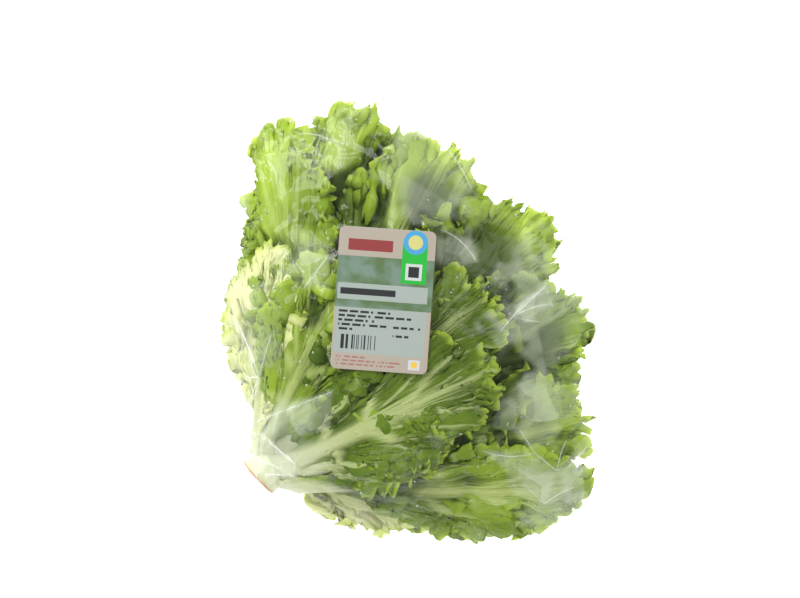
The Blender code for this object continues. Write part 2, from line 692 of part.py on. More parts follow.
@dataclass(frozen=True)
class Label:
    """A plain rectangular label lying flat on top of the film. Plan points as for a leaf."""

    middle: tuple[float, float] = (384.0, 300.0)
    width: float = 61 * MM
    height: float = 90 * MM
    corner: float = 4 * MM
    turn: float = math.radians(-4.1)
    thick: float = 0.6 * MM
    gap: float = 0.35 * MM
    margin: float = 5 * MM

    @property
    def centre(self) -> np.ndarray:
        """Metres from the butt."""
        right, down = self.middle
        return np.array([right - BUTT_PLAN[0], BUTT_PLAN[1] - down]) * PLAN_SCALE

    def own(self, plan: np.ndarray) -> np.ndarray:
        """Plan points as distances along the label's width and height."""
        c, s = math.cos(self.turn), math.sin(self.turn)
        return (plan - self.centre) @ np.array([[c, -s], [s, c]])

    def covers(self, plan: np.ndarray) -> np.ndarray:
        """Whether each plan point is on the label or just beside it."""
        off = np.abs(self.own(plan))
        return (off[..., 0] < self.width / 2 + self.margin) & (off[..., 1] < self.height / 2 + self.margin)

    def outline(self) -> list[np.ndarray]:
        """Plan points round the label, corners rounded."""
        points = []
        for k, (sx, sy) in enumerate(((1, 1), (-1, 1), (-1, -1), (1, -1))):
            for step in range(4):
                a = math.radians(90 * k + 30 * step)
                points.append(
                    np.array(
                        [
                            sx * (self.width / 2 - self.corner) + self.corner * math.cos(a),
                            sy * (self.height / 2 - self.corner) + self.corner * math.sin(a),
                        ]
                    )
                )
        c, s = math.cos(self.turn), math.sin(self.turn)
        return [self.centre + np.array([c * x - s * y, s * x + c * y]) for x, y in points]

    def object(self, film_top: float) -> bpy.types.Object:
        """Args: film_top, height of the film under it. Returns: the label."""
        edge, low = self.outline(), film_top + self.gap
        count = len(edge)
        points = [(*p, low) for p in edge] + [(*p, low + self.thick) for p in edge]
        faces: list[tuple[int, ...]] = [tuple(range(count))[::-1], tuple(range(count, 2 * count))]
        faces += [(k, (k + 1) % count, count + (k + 1) % count, count + k) for k in range(count)]
        made = mesh_object("label", np.array(points), faces)
        face_out(made)
        return made


LABEL = Label()


class Sleeve:
    """Clear film stretched over the pile from above and below, shut at the butt and open past the tips."""

    THICK = 0.6 * MM
    CLEAR = 2.2 * MM
    BESIDE = 2.5 * MM
    CELL = 4 * MM
    ROUNDS = 800
    HALF = 0.34
    BINS = 72
    AROUND = 60
    TOP_RINGS = (0.1, 0.19, 0.28, 0.37, 0.45, 0.53, 0.61, 0.69, 0.77, 0.84, 0.91, 0.975)
    WALL = ((1.0, 0.78), (1.01, 0.5), (1.0, 0.22))
    LOW_RINGS = (0.975, 0.9, 0.8, 0.62, 0.34)
    MOUTH = (math.radians(-42), math.radians(112))
    SEAM = 20 * MM
    SEAM_AT_BUTT = 18 * MM
    CORNER = ((240.0, 394.0), (233.0, 426.0), (246.0, 460.0))
    CORNER_HEIGHT = 32 * MM

    def __init__(self, forms: list[LeafForm], solids: list[LeafSolid]):
        count = int(2 * self.HALF / self.CELL)
        self.high = np.full((count, count), -1.0)
        self.low = np.full((count, count), 1.0)
        self.radius = np.zeros(self.BINS)
        self.take_in(self.stem_points())
        self.take_in(self.corner_points())
        for form in forms:
            self.take_in(finer(form.points, 2).reshape(-1, 3))
        for solid in solids:
            self.take_in(solid.middle)
        self.high = around(self.high, np.maximum)
        self.low = around(self.low, np.minimum)
        wide = np.maximum(self.radius, (np.roll(self.radius, 1) + np.roll(self.radius, -1)) / 2)
        wide = np.maximum(wide, 0.97 * np.maximum(np.roll(wide, 1), np.roll(wide, -1)))
        self.radius = (wide * 2 + np.roll(wide, 1) + np.roll(wide, -1)) / 4 + self.BESIDE
        self.stretch()

    @staticmethod
    def stem_points() -> np.ndarray:
        """Points a little outside the stem's cut half."""
        turns = np.linspace(0, 2 * np.pi, 48, endpoint=False)
        ring = np.cos(turns)[:, None] * UP + np.sin(turns)[:, None] * HEAD_SIDE
        points = []
        for along in np.arange(-STEM.behind - 3 * MM, 30 * MM, 2 * MM):
            for share in (0.5, 1.0):
                points.append(BUTT_HEIGHT * UP + along * HEAD_WAY + (STEM.radius(along) + 2 * MM) * share * ring)
        return np.concatenate(points)

    @classmethod
    def corner_points(cls) -> np.ndarray:
        """Points of the sleeve's empty corner beside the butt."""
        plan = np.array([((x - BUTT_PLAN[0]), (BUTT_PLAN[1] - y)) for x, y in cls.CORNER]) * PLAN_SCALE
        return np.column_stack([plan, np.full(len(plan), cls.CORNER_HEIGHT)])

    def take_in(self, points: np.ndarray) -> None:
        """Widens the bounds of what the film goes round."""
        i, j = ((points[:, :2] + self.HALF) / self.CELL).round().astype(int).T
        np.maximum.at(self.high, (i, j), points[:, 2])
        np.minimum.at(self.low, (i, j), points[:, 2])
        off = points[:, :2] - MIDDLE
        bins = (np.arctan2(off[:, 1], off[:, 0]) / (2 * np.pi) * self.BINS).round().astype(int) % self.BINS
        np.maximum.at(self.radius, bins, np.linalg.norm(off, axis=1))

    def edge(self, turn: np.ndarray) -> np.ndarray:
        """How far out the film goes each way from the middle."""
        at = turn / (2 * np.pi) * self.BINS
        return np.interp(at % self.BINS, np.arange(self.BINS + 1), np.append(self.radius, self.radius[0]))

    def stretch(self) -> None:
        """Pulls the upper film down over the pile and the lower film up under it."""
        side = np.arange(len(self.high)) * self.CELL - self.HALF
        plan = np.stack(np.meshgrid(side, side, indexing="ij"), -1)
        off = plan - MIDDLE
        inside = np.linalg.norm(off, axis=-1) < self.edge(np.arctan2(off[..., 1], off[..., 0]))
        near_butt = np.exp(-((np.linalg.norm(plan, axis=-1) / (60 * MM)) ** 2))
        seam = self.SEAM + self.SEAM_AT_BUTT * near_butt
        over = np.where(inside, self.high + self.CLEAR, seam)
        label = LABEL.covers(plan)
        self.label_top = float(over[label].max())
        over = np.where(label, self.label_top, over)
        top = np.where(inside, np.maximum(over, seam), seam)
        ceiling = np.where(self.low < 0.5, self.low - self.CLEAR + self.THICK, 1.0).clip(0, 1)
        bottom = np.where(inside, 0.0, seam)
        for _ in range(self.ROUNDS):
            top = np.where(inside & ~label, np.maximum(over, self.mean(top)), top)
            bottom = np.where(inside, (self.mean(bottom) - 0.25 * MM).clip(0, ceiling), bottom)
        self.top, self.bottom = top, bottom

    @staticmethod
    def mean(field: np.ndarray) -> np.ndarray:
        """Mean of each cell's neighbours."""
        q = np.pad(field, 1, mode="edge")
        return (q[2:, 1:-1] + q[:-2, 1:-1] + q[1:-1, 2:] + q[1:-1, :-2]) / 4

    def height(self, field: np.ndarray, plan: np.ndarray) -> np.ndarray:
        """Height of the upper or lower film over plan points."""
        at = (plan + self.HALF) / self.CELL
        return at_grid(field, at[..., 0], at[..., 1])

    def object(self) -> bpy.types.Object:
        """Returns: the film's outer surface, to be thickened inward."""
        turns = np.linspace(0, 2 * np.pi, self.AROUND, endpoint=False)
        way, reach = np.stack([np.cos(turns), np.sin(turns)], -1), self.edge(turns)[:, None]
        rings = []
        for share in self.TOP_RINGS:
            plan = MIDDLE + way * reach * share
            rings.append(np.column_stack([plan, self.height(self.top, plan)]))
        rim = MIDDLE + way * reach * self.TOP_RINGS[-1]
        high, low = self.height(self.top, rim), self.height(self.bottom, rim)
        for out, share in self.WALL:
            rings.append(np.column_stack([MIDDLE + way * reach * out, low + (high - low) * share]))
        for share in self.LOW_RINGS:
            plan = MIDDLE + way * reach * share
            rings.append(np.column_stack([plan, self.height(self.bottom, plan)]))
        poles = [np.append(MIDDLE, self.height(f, MIDDLE)) for f in (self.top, self.bottom)]
        count, last = self.AROUND, len(rings) - 1
        faces: list[tuple[int, ...]] = []
        open_rings = (len(self.TOP_RINGS), len(self.TOP_RINGS) + 1)
        for k in range(count):
            n = (k + 1) % count
            middle = turns[k] + math.pi / count
            middle = middle - 2 * np.pi if middle > np.pi else middle
            is_mouth = self.MOUTH[0] < middle < self.MOUTH[1]
            faces.append((k, n, count * (last + 1)))
            faces.append((last * count + n, last * count + k, count * (last + 1) + 1))
            for r in range(last):
                if not (is_mouth and r in open_rings):
                    a, b, c, d = r * count + k, r * count + n, (r + 1) * count + n, (r + 1) * count + k
                    faces += [(a, d, c), (a, c, b)]
        made = mesh_object("film_sleeve", np.concatenate(rings + [np.array(poles)]), faces)
        return made

    @classmethod
    def thicken(cls, thing: bpy.types.Object, inward: float, outward: float) -> None:
        """Gives the film its thickness with a Solidify step."""
        step = thing.modifiers.new("thickness", "SOLIDIFY")
        step.thickness = inward + outward
        step.offset = (outward - inward) / (inward + outward)
        step.use_even_offset = True
        step.thickness_clamp = 1.0


class StemSolid:
    """The stem, tapered and a little uneven, with its flat cut end outward."""

    SIDES = 18
    STATIONS = (-1.0, -0.6, 0.0, 0.3, 0.65, 1.0)

    @classmethod
    def object(cls, name: str, swell: float = 0.0) -> bpy.types.Object:
        """Args: swell, how much bigger on every side. Returns: the stem."""
        points, count = [], cls.SIDES
        for k, station in enumerate(cls.STATIONS):
            along = station * (STEM.behind if station < 0 else STEM.length)
            radius = STEM.radius(along) * (0.93 if station == -1.0 else 1.0) + swell
            along += swell * (-1 if k == 0 else 1 if k == len(cls.STATIONS) - 1 else 0)
            for step in range(count):
                turn = 2 * math.pi * step / count
                r = radius * (1 + 0.04 * math.sin(3 * turn + station) + 0.03 * math.sin(5 * turn))
                ring = math.cos(turn) * UP + math.sin(turn) * HEAD_SIDE
                points.append(BUTT_HEIGHT * UP + along * HEAD_WAY + r * ring)
        last = len(cls.STATIONS) - 1
        faces: list[tuple[int, ...]] = [tuple(range(count)), tuple(range(last * count, (last + 1) * count))[::-1]]
        for row in range(last):
            for k in range(count):
                n = (k + 1) % count
                faces.append((row * count + k, (row + 1) * count + k, (row + 1) * count + n, row * count + n))
        made = mesh_object(name, np.array(points), faces)
        face_out(made)
        return made


def material(name: str, colour: tuple[float, float, float], rough: float, alpha: float = 1.0) -> bpy.types.Material:
    """A plain Principled material."""
    made = bpy.data.materials.new(name)
    made.use_nodes = True
    shader = made.node_tree.nodes["Principled BSDF"]
    shader.inputs["Base Color"].default_value = (*colour, 1.0)
    shader.inputs["Roughness"].default_value = rough
    shader.inputs["Alpha"].default_value = alpha
    return made


class Head:
    """Builds every piece, trims the leaves clear of one another and sets the origin."""

    APART = 0.5 * MM
    ORDER = {Place.OUTER: 0, Place.UNDER: 1, Place.HEART: 2}

    def __init__(self) -> None:
        self.finish = {
            Place.OUTER: material("leaf_outer", (0.30, 0.46, 0.10), 0.45),
            Place.UNDER: material("leaf_under", (0.24, 0.40, 0.08), 0.45),
            Place.HEART: material("leaf_heart", (0.46, 0.58, 0.16), 0.45),
        }
        self.stem_finish = material("cut_stem", (0.72, 0.70, 0.50), 0.5)
        self.film_finish = material("clear_film", (0.92, 0.95, 0.95), 0.15, 0.25)
        self.label_finish = material("label_paper", (0.86, 0.84, 0.82), 0.5)

    def build(self) -> list[bpy.types.Object]:
        """Returns: all the pieces."""
        pile, settling = Pile(LEAVES), Settling()
        solids = {leaf.name: LeafSolid(LeafForm(leaf, pile, (LONG_FRILL,))) for leaf in LEAVES}
        for solid in solids.values():
            settling.settle(solid)
        frilled = [LeafForm(leaf, pile, (LONG_FRILL, MIDDLE_FRILL)) for leaf in LEAVES]
        sleeve = Sleeve(frilled, list(solids.values()))
        film = sleeve.object()
        face_out(film)
        guard = film.copy()
        guard.data = film.data.copy()
        bpy.context.scene.collection.objects.link(guard)
        Sleeve.thicken(film, Sleeve.THICK, 0.0)
        Sleeve.thicken(guard, Sleeve.THICK + self.APART, self.APART)
        stem = StemSolid.object("stem")
        label = LABEL.object(sleeve.label_top)
        cutters = [self.applied(guard), StemSolid.object("stem_guard", self.APART)]
        pieces = [film, stem, label]
        order = [leaf for leaf in LEAVES if leaf.place is not Place.OUTER]
        order = [leaf for leaf in LEAVES if leaf.place is Place.OUTER][::-1] + order
        for leaf in sorted(order, key=lambda one: self.ORDER[one.place]):
            solid = solids[leaf.name]
            made = solid.object(leaf.name)
            guard = solid.object(leaf.name + "_guard", self.APART)
            low, high = box_of(made)
            near = [c for c in cutters if (box_of(c)[0] < high).all() and (box_of(c)[1] > low).all()]
            cut_by(made, near)
            cutters.append(guard)
            made.data.materials.clear()
            made.data.materials.append(self.finish[leaf.place])
            pieces.append(made)
        film.data.materials.append(self.film_finish)
        stem.data.materials.append(self.stem_finish)
        label.data.materials.append(self.label_finish)
        for cutter in cutters:
            bpy.data.objects.remove(cutter)
        self.set_origin(pieces, film)
        return pieces

    @staticmethod
    def applied(thing: bpy.types.Object) -> bpy.types.Object:
        """The object with its steps made into its mesh."""
        graph = bpy.context.evaluated_depsgraph_get()
        mesh = bpy.data.meshes.new_from_object(thing.evaluated_get(graph))
        thing.modifiers.clear()
        thing.data = mesh
        return thing

    @staticmethod
    def set_origin(pieces: list[bpy.types.Object], film: bpy.types.Object) -> None:
        """Moves everything so that the middle of its foot is at the origin."""
        low, high = box_of(film)
        for piece in pieces:
            if piece is not film:
                a, b = box_of(piece)
                low, high = np.minimum(low, a), np.maximum(high, b)
        shift = -np.array([(low[0] + high[0]) / 2, (low[1] + high[1]) / 2, low[2]])
        for piece in pieces:
            for vertex in piece.data.vertices:
                vertex.co = [c + d for c, d in zip(vertex.co, shift)]


def main() -> None:
    """Clears the scene and builds the head."""
    for thing in list(bpy.data.objects):
        bpy.data.objects.remove(thing)
    Head().build()


main()
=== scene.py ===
"""The looks of a head of curly lettuce in a clear film sleeve with a plain label on top.

Each leaf is a waved sheet with a cut and frilled rim, raised ribs and a puckered blade. The leaves are
laid one on another from the table up. The sleeve is a clear film stretched over them, gathered at the
butt and open past the tips, with creases, mist and drops. Metres, Z up. Plan points are counted to the
right and down over a grid 800 wide and 598 high, seen from straight above.
"""

import json
import logging
import math
from dataclasses import dataclass
from enum import Enum
from typing import Any, Callable

import bpy
import numpy as np
from mathutils import Matrix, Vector
from mathutils.bvhtree import BVHTree

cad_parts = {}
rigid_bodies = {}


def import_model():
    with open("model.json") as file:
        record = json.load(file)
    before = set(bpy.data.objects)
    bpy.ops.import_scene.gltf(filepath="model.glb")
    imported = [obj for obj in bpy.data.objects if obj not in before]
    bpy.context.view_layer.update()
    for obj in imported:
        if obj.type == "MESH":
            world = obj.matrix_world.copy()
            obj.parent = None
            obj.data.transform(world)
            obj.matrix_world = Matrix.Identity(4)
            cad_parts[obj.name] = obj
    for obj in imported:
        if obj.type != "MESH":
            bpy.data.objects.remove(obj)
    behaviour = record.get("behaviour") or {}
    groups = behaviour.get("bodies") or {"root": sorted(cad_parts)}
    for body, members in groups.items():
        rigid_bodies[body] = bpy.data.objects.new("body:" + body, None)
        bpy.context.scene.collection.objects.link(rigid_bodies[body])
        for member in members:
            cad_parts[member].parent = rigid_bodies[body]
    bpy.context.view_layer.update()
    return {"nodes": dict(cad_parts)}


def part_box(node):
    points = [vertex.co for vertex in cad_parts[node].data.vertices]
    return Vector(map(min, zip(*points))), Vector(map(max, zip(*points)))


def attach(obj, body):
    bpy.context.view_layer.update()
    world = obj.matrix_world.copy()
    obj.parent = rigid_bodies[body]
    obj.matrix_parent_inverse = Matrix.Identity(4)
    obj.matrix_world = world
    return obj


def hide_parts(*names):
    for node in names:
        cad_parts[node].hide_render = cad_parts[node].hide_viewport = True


log = logging.getLogger("lettuce")

MM = 0.001
UP = np.array([0.0, 0.0, 1.0])
PLAN_SCALE = 0.65 * MM
BUTT_PLAN = (262.0, 474.0)
PICTURE_MIDDLE = (400.0, 299.0)
PICTURE_WIDTH = 800.0
HEAD_TURN = math.radians(43.0)
HEAD_WAY = np.array([math.cos(HEAD_TURN), math.sin(HEAD_TURN), 0.0])
HEAD_SIDE = np.array([-HEAD_WAY[1], HEAD_WAY[0], 0.0])
BUTT_HEIGHT = 38 * MM
FLOOR = 1.7 * MM
FLOOR_SOFT = 3.0 * MM
CEILING = 101 * MM
CEILING_DROP = 36 * MM
CEILING_SOFT = 5.0 * MM
CEILING_REACH = 1.15
SQUEEZE = 0.9
MIDDLE = np.array([88.0, 98.0]) * MM
MIDDLE_RADII = np.array([132.0, 150.0]) * MM

Colour = tuple[float, float, float]
WHITE = (1.0, 1.0, 1.0)


class Place(Enum):
    """Where in the pile a leaf lies."""

    UNDER = "under"
    HEART = "heart"
    OUTER = "outer"


class Tone(Enum):
    """How deep a leaf's green is. The pale tone is a much lighter copy of the fresh green, painted light,
    and the heart tone a darker copy, painted shade.
    """

    # Painted light: a much paler copy of the green, standing in for light shining up through the outer
    # leaves.
    PAINTED_LIT = "pale"
    FRESH = "fresh"
    DEEP = "deep"
    # Painted shade: heart leaves get a darker copy of the green, as if in the head's shadow.
    HEART = "heart"


@dataclass(frozen=True)
class Leaf:
    """One leaf. Lengths in mm, plan points as (right, down) on the plan grid, angles in degrees."""

    name: str
    place: Place
    tip: tuple[float, float]
    tip_height: float
    half_width: float
    azimuth: float
    start: float
    crest: float
    bow: float = 0.0
    roll: float = 0.0
    wrap: float = 6.0
    faces_down: bool = False
    curl: float = 0.28
    seed: int = 0
    ruffled: float = 1.0
    ribbed: float = 0.5
    tone: Tone = Tone.FRESH


@dataclass(frozen=True)
class Frill:
    """The long waves round a leaf's rim."""

    wave: float
    steepness: float
    depth: float
    limit: float


@dataclass(frozen=True)
class Ruffle:
    """Shorter waves that cross the rim square on, with how high they are there and how far in they go."""

    wave: float
    height: float
    depth: float
    fold: float


LONG_FRILL = Frill(62 * MM, 0.65, 95 * MM, 0.8)
RUFFLES = (Ruffle(23 * MM, 4.8 * MM, 19 * MM, 0.36), Ruffle(8 * MM, 1.4 * MM, 8 * MM, 0.3))

UNDER, HEART, OUTER = Place.UNDER, Place.HEART, Place.OUTER
PAINTED_LIT, DEEP = Tone.PAINTED_LIT, Tone.DEEP
ROWS_AND_COLUMNS = {UNDER: (34, 260), HEART: (34, 260), OUTER: (52, 450)}
LEAVES = (
    Leaf("leaf_under_right", UNDER, (568, 500), 8, 42, 200, 2, 8, roll=5, wrap=4, faces_down=True, seed=1),
    Leaf("leaf_under_left", UNDER, (330, 168), 8, 47, 150, 3, 10, roll=-8, wrap=4, faces_down=True, seed=2),
    Leaf("leaf_under_middle", UNDER, (460, 205), 8, 76, 180, 8, 8, wrap=3, faces_down=True, seed=3),
    Leaf("leaf_under_low", UNDER, (578, 385), 12, 70, 215, 12, 14, wrap=3, faces_down=True, seed=4),
    Leaf("leaf_under_high", UNDER, (375, 140), 12, 58, 160, 16, 15, wrap=3, faces_down=True, seed=5),
    Leaf("leaf_heart_right", HEART, (540, 300), 30, 64, 230, 30, 32, wrap=2, faces_down=True, seed=6),
    Leaf("leaf_heart_left", HEART, (420, 165), 34, 60, 130, 34, 34, wrap=2, faces_down=True, seed=7),
    Leaf("leaf_heart_middle", HEART, (500, 245), 60, 56, 20, 45, 52, wrap=3, seed=8),
    Leaf("leaf_heart_low", HEART, (560, 425), 40, 44, -95, 26, 46, roll=-20, wrap=3, seed=9),
    Leaf("leaf_heart_high", HEART, (340, 150), 46, 40, 95, 28, 50, roll=20, wrap=4, seed=10),
    Leaf("leaf_inner_high", HEART, (405, 135), 62, 52, 30, 24, 66, wrap=4, seed=11),
    Leaf("leaf_inner_low", HEART, (560, 330), 52, 60, -44, 22, 64, roll=-10, wrap=4, seed=12),
    # This outer leaf gets the paler copy of the green: painted light.
    Leaf("leaf_bottom_low", UNDER, (425, 510), 14, 24, -125, 5, 18, bow=-6, roll=-16, wrap=5, seed=21,
         tone=PAINTED_LIT),
    Leaf("leaf_top_back", OUTER, (354, 98), 66, 44, 45, 18, 76, roll=8, wrap=6, seed=14),
    Leaf("leaf_upper_right", OUTER, (452, 152), 70, 54, 20, 18, 76, wrap=4, seed=22),
    Leaf("leaf_right_back", OUTER, (545, 214), 62, 51, 0, 18, 74, wrap=5, seed=15),
    Leaf("leaf_right_middle", OUTER, (580, 300), 50, 50, -40, 16, 70, wrap=5, seed=23, tone=DEEP),
    Leaf("leaf_top_left", OUTER, (277, 120), 60, 31, 60, 16, 70, bow=-7, roll=24, wrap=8, seed=13,
         ribbed=0.25),
    # This outer leaf gets the paler copy of the green: painted light.
    Leaf("leaf_left_outer", OUTER, (268, 242), 44, 27, 85, 4, 56, bow=1, roll=22, wrap=9, seed=17,
         ruffled=0.5, ribbed=0.3, tone=PAINTED_LIT),
    Leaf("leaf_right_low", OUTER, (590, 422), 40, 52, -70, 12, 60, roll=-15, wrap=6, seed=16),
    Leaf("leaf_bottom", OUTER, (592, 490), 34, 33, -75, 2, 56, bow=-6, roll=-22, wrap=7, seed=20,
         ribbed=1.0),
    Leaf("leaf_lower_front", OUTER, (448, 440), 58, 25, -62, 16, 66, roll=-14, wrap=8, seed=25,
         ribbed=0.8, tone=DEEP),
    Leaf("leaf_upper_front", OUTER, (490, 294), 92, 50, 10, 14, 92, wrap=6, seed=18, ribbed=0.7,
         tone=DEEP),
    Leaf("leaf_left_front", OUTER, (350, 266), 88, 40, 50, 10, 84, roll=15, wrap=8, seed=24),
    Leaf("leaf_middle", OUTER, (492, 366), 84, 40, -20, 8, 92, roll=-8, wrap=8, seed=19,
         ribbed=1.0, tone=DEEP),
)


def unit(v: np.ndarray) -> np.ndarray:
    """Vectors of length one."""
    return v / np.maximum(np.linalg.norm(v, axis=-1, keepdims=True), 1e-12)


def ease(a: float, b: float, x: np.ndarray) -> np.ndarray:
    """Nought at a, one at b, smooth between."""
    t = np.clip((x - a) / (b - a), 0, 1)
    return t * t * (3 - 2 * t)


def wander(x: np.ndarray, seed: int, low: float = 0.5, high: float = 1.5) -> np.ndarray:
    """Slow uneven values along a line, about -1 to 1."""
    rng = np.random.default_rng(seed)
    out = np.zeros_like(x)
    for _ in range(4):
        out = out + np.sin(2 * np.pi * (rng.uniform(low, high) * x + rng.uniform()))
    return out / 2


def ripple(x: np.ndarray, y: np.ndarray, seed: int, wave: float) -> np.ndarray:
    """Bumps of one size over a plane, about -1 to 1."""
    rng = np.random.default_rng(seed)
    out = np.zeros_like(x)
    for _ in range(7):
        turn, size = rng.uniform(0, 2 * np.pi), wave * rng.uniform(0.75, 1.35)
        phase = rng.uniform(0, 2 * np.pi)
        out = out + np.sin(2 * np.pi * (math.cos(turn) * x + math.sin(turn) * y) / size + phase)
    return out / math.sqrt(7)


def tooth(x: np.ndarray, sharp: float) -> np.ndarray:
    """Points at whole numbers with round hollows between."""
    return 1 - np.abs(np.sin(np.pi * x)) ** sharp


def around(grid: np.ndarray, pick: Callable[..., np.ndarray]) -> np.ndarray:
    """Each cell and its four neighbours taken together, such as their greatest or their sum."""
    out = grid.copy()
    out[1:] = pick(out[1:], grid[:-1])
    out[:-1] = pick(out[:-1], grid[1:])
    out[:, 1:] = pick(out[:, 1:], grid[:, :-1])
    out[:, :-1] = pick(out[:, :-1], grid[:, 1:])
    return out


def at_grid(grid: np.ndarray, a: np.ndarray, b: np.ndarray) -> np.ndarray:
    """Values of a grid at rows a and columns b, straight between its points."""
    i = np.clip(a.astype(int), 0, grid.shape[0] - 2)
    j = np.clip(b.astype(int), 0, grid.shape[1] - 2)
    fa, fb = a - i, b - j
    if grid.ndim == 3:
        fa, fb = fa[..., None], fb[..., None]
    low = (1 - fb) * grid[i, j] + fb * grid[i, j + 1]
    high = (1 - fb) * grid[i + 1, j] + fb * grid[i + 1, j + 1]
    return (1 - fa) * low + fa * high


def finer(grid: np.ndarray, times: int) -> np.ndarray:
    """A grid of points with more between them."""
    a = np.linspace(0, grid.shape[0] - 1, (grid.shape[0] - 1) * times + 1)
    b = np.linspace(0, grid.shape[1] - 1, (grid.shape[1] - 1) * times + 1)
    return at_grid(grid, *np.meshgrid(a, b, indexing="ij"))


def directions(p: np.ndarray) -> tuple[np.ndarray, np.ndarray, np.ndarray]:
    """Across, outward and normal directions of a grid of points."""
    across = unit(np.gradient(p, axis=1))
    outward = np.gradient(p, axis=0)
    return across, unit(outward), unit(np.cross(across, outward))


def ways(turns: np.ndarray) -> np.ndarray:
    """Unit directions over the plan at angles."""
    return np.stack([np.cos(turns), np.sin(turns)], -1)


def plan_point(right: float, down: float) -> np.ndarray:
    """A plan point as metres from the butt."""
    return np.array([right - BUTT_PLAN[0], BUTT_PLAN[1] - down]) * PLAN_SCALE


@dataclass(frozen=True)
class Stem:
    """The short stem all the leaves grow from, along the head from its cut end."""

    length: float = 62 * MM
    cut_radius: float = 14 * MM
    far_radius: float = 5 * MM
    behind: float = 5 * MM

    def radius(self, along: float) -> float:
        """The stem's radius.

        Args:
            along: metres from the butt.
        Returns:
            Metres.
        """
        share = min(max(along / self.length, 0.0), 1.0)
        return self.cut_radius + (self.far_radius - self.cut_radius) * share


STEM = Stem()


class Rib:
    """A leaf's middle rib: a curve from the stem to the tip with a frame along it."""

    GAP = 2 * MM

    def __init__(self, leaf: Leaf) -> None:
        """Lays the curve from the leaf's place on the stem to its tip."""
        turn = math.radians(leaf.azimuth)
        self.radial = math.cos(turn) * UP + math.sin(turn) * HEAD_SIDE
        along = leaf.start * MM
        base = along * HEAD_WAY + (STEM.radius(along) + self.GAP) * self.radial + BUTT_HEIGHT * UP
        tip = np.append(plan_point(*leaf.tip), leaf.tip_height * MM)
        way = unit(tip * np.array([1, 1, 0]))
        side = np.array([-way[1], way[0], 0.0])
        leave = unit(0.9 * HEAD_WAY + 0.7 * way + 0.35 * self.radial)
        first = base + leave * np.linalg.norm(tip - base) * 0.34 + side * leaf.bow * MM * 0.8
        second = base * 0.3 + tip * 0.7 + side * leaf.bow * MM
        second[2] = leaf.crest * MM
        self.points = (base, first, second, tip)
        self.shares = np.linspace(0, 1, 65)
        steps = np.linalg.norm(np.diff(self.curve(self.shares), axis=0), axis=1)
        self.lengths = np.concatenate([[0], np.cumsum(steps)])
        self.length = float(self.lengths[-1])
        roll = math.radians(leaf.roll)
        self.facing = math.cos(roll) * (-UP if leaf.faces_down else UP) + math.sin(roll) * side

    def curve(self, u: np.ndarray) -> np.ndarray:
        """Points of the curve at shares 0 to 1."""
        a, b, c, d = self.points
        u = u[..., None]
        return (1 - u) ** 3 * a + 3 * u * (1 - u) ** 2 * b + 3 * u * u * (1 - u) * c + u**3 * d

    def heading(self, u: np.ndarray) -> np.ndarray:
        """Unit directions of the curve."""
        a, b, c, d = self.points
        u = u[..., None]
        return unit((1 - u) ** 2 * (b - a) + 2 * u * (1 - u) * (c - b) + u * u * (d - c))

    def frame(self, y: np.ndarray) -> tuple[np.ndarray, np.ndarray, np.ndarray]:
        """The curve and the directions beside it.

        Args:
            y: lengths along the rib.
        Returns:
            Points, sideways and outward directions.
        """
        u = np.interp(y, self.lengths, self.shares)
        ahead = self.heading(u)
        at = self.curve(u) + ahead * np.maximum(y - self.length, 0)[..., None]
        k = ease(0.05, 0.5, u)[..., None]
        hint = (1 - k) * self.radial + k * self.facing
        out = unit(hint - (hint * ahead).sum(-1, keepdims=True) * ahead)
        return at, np.cross(ahead, out), out


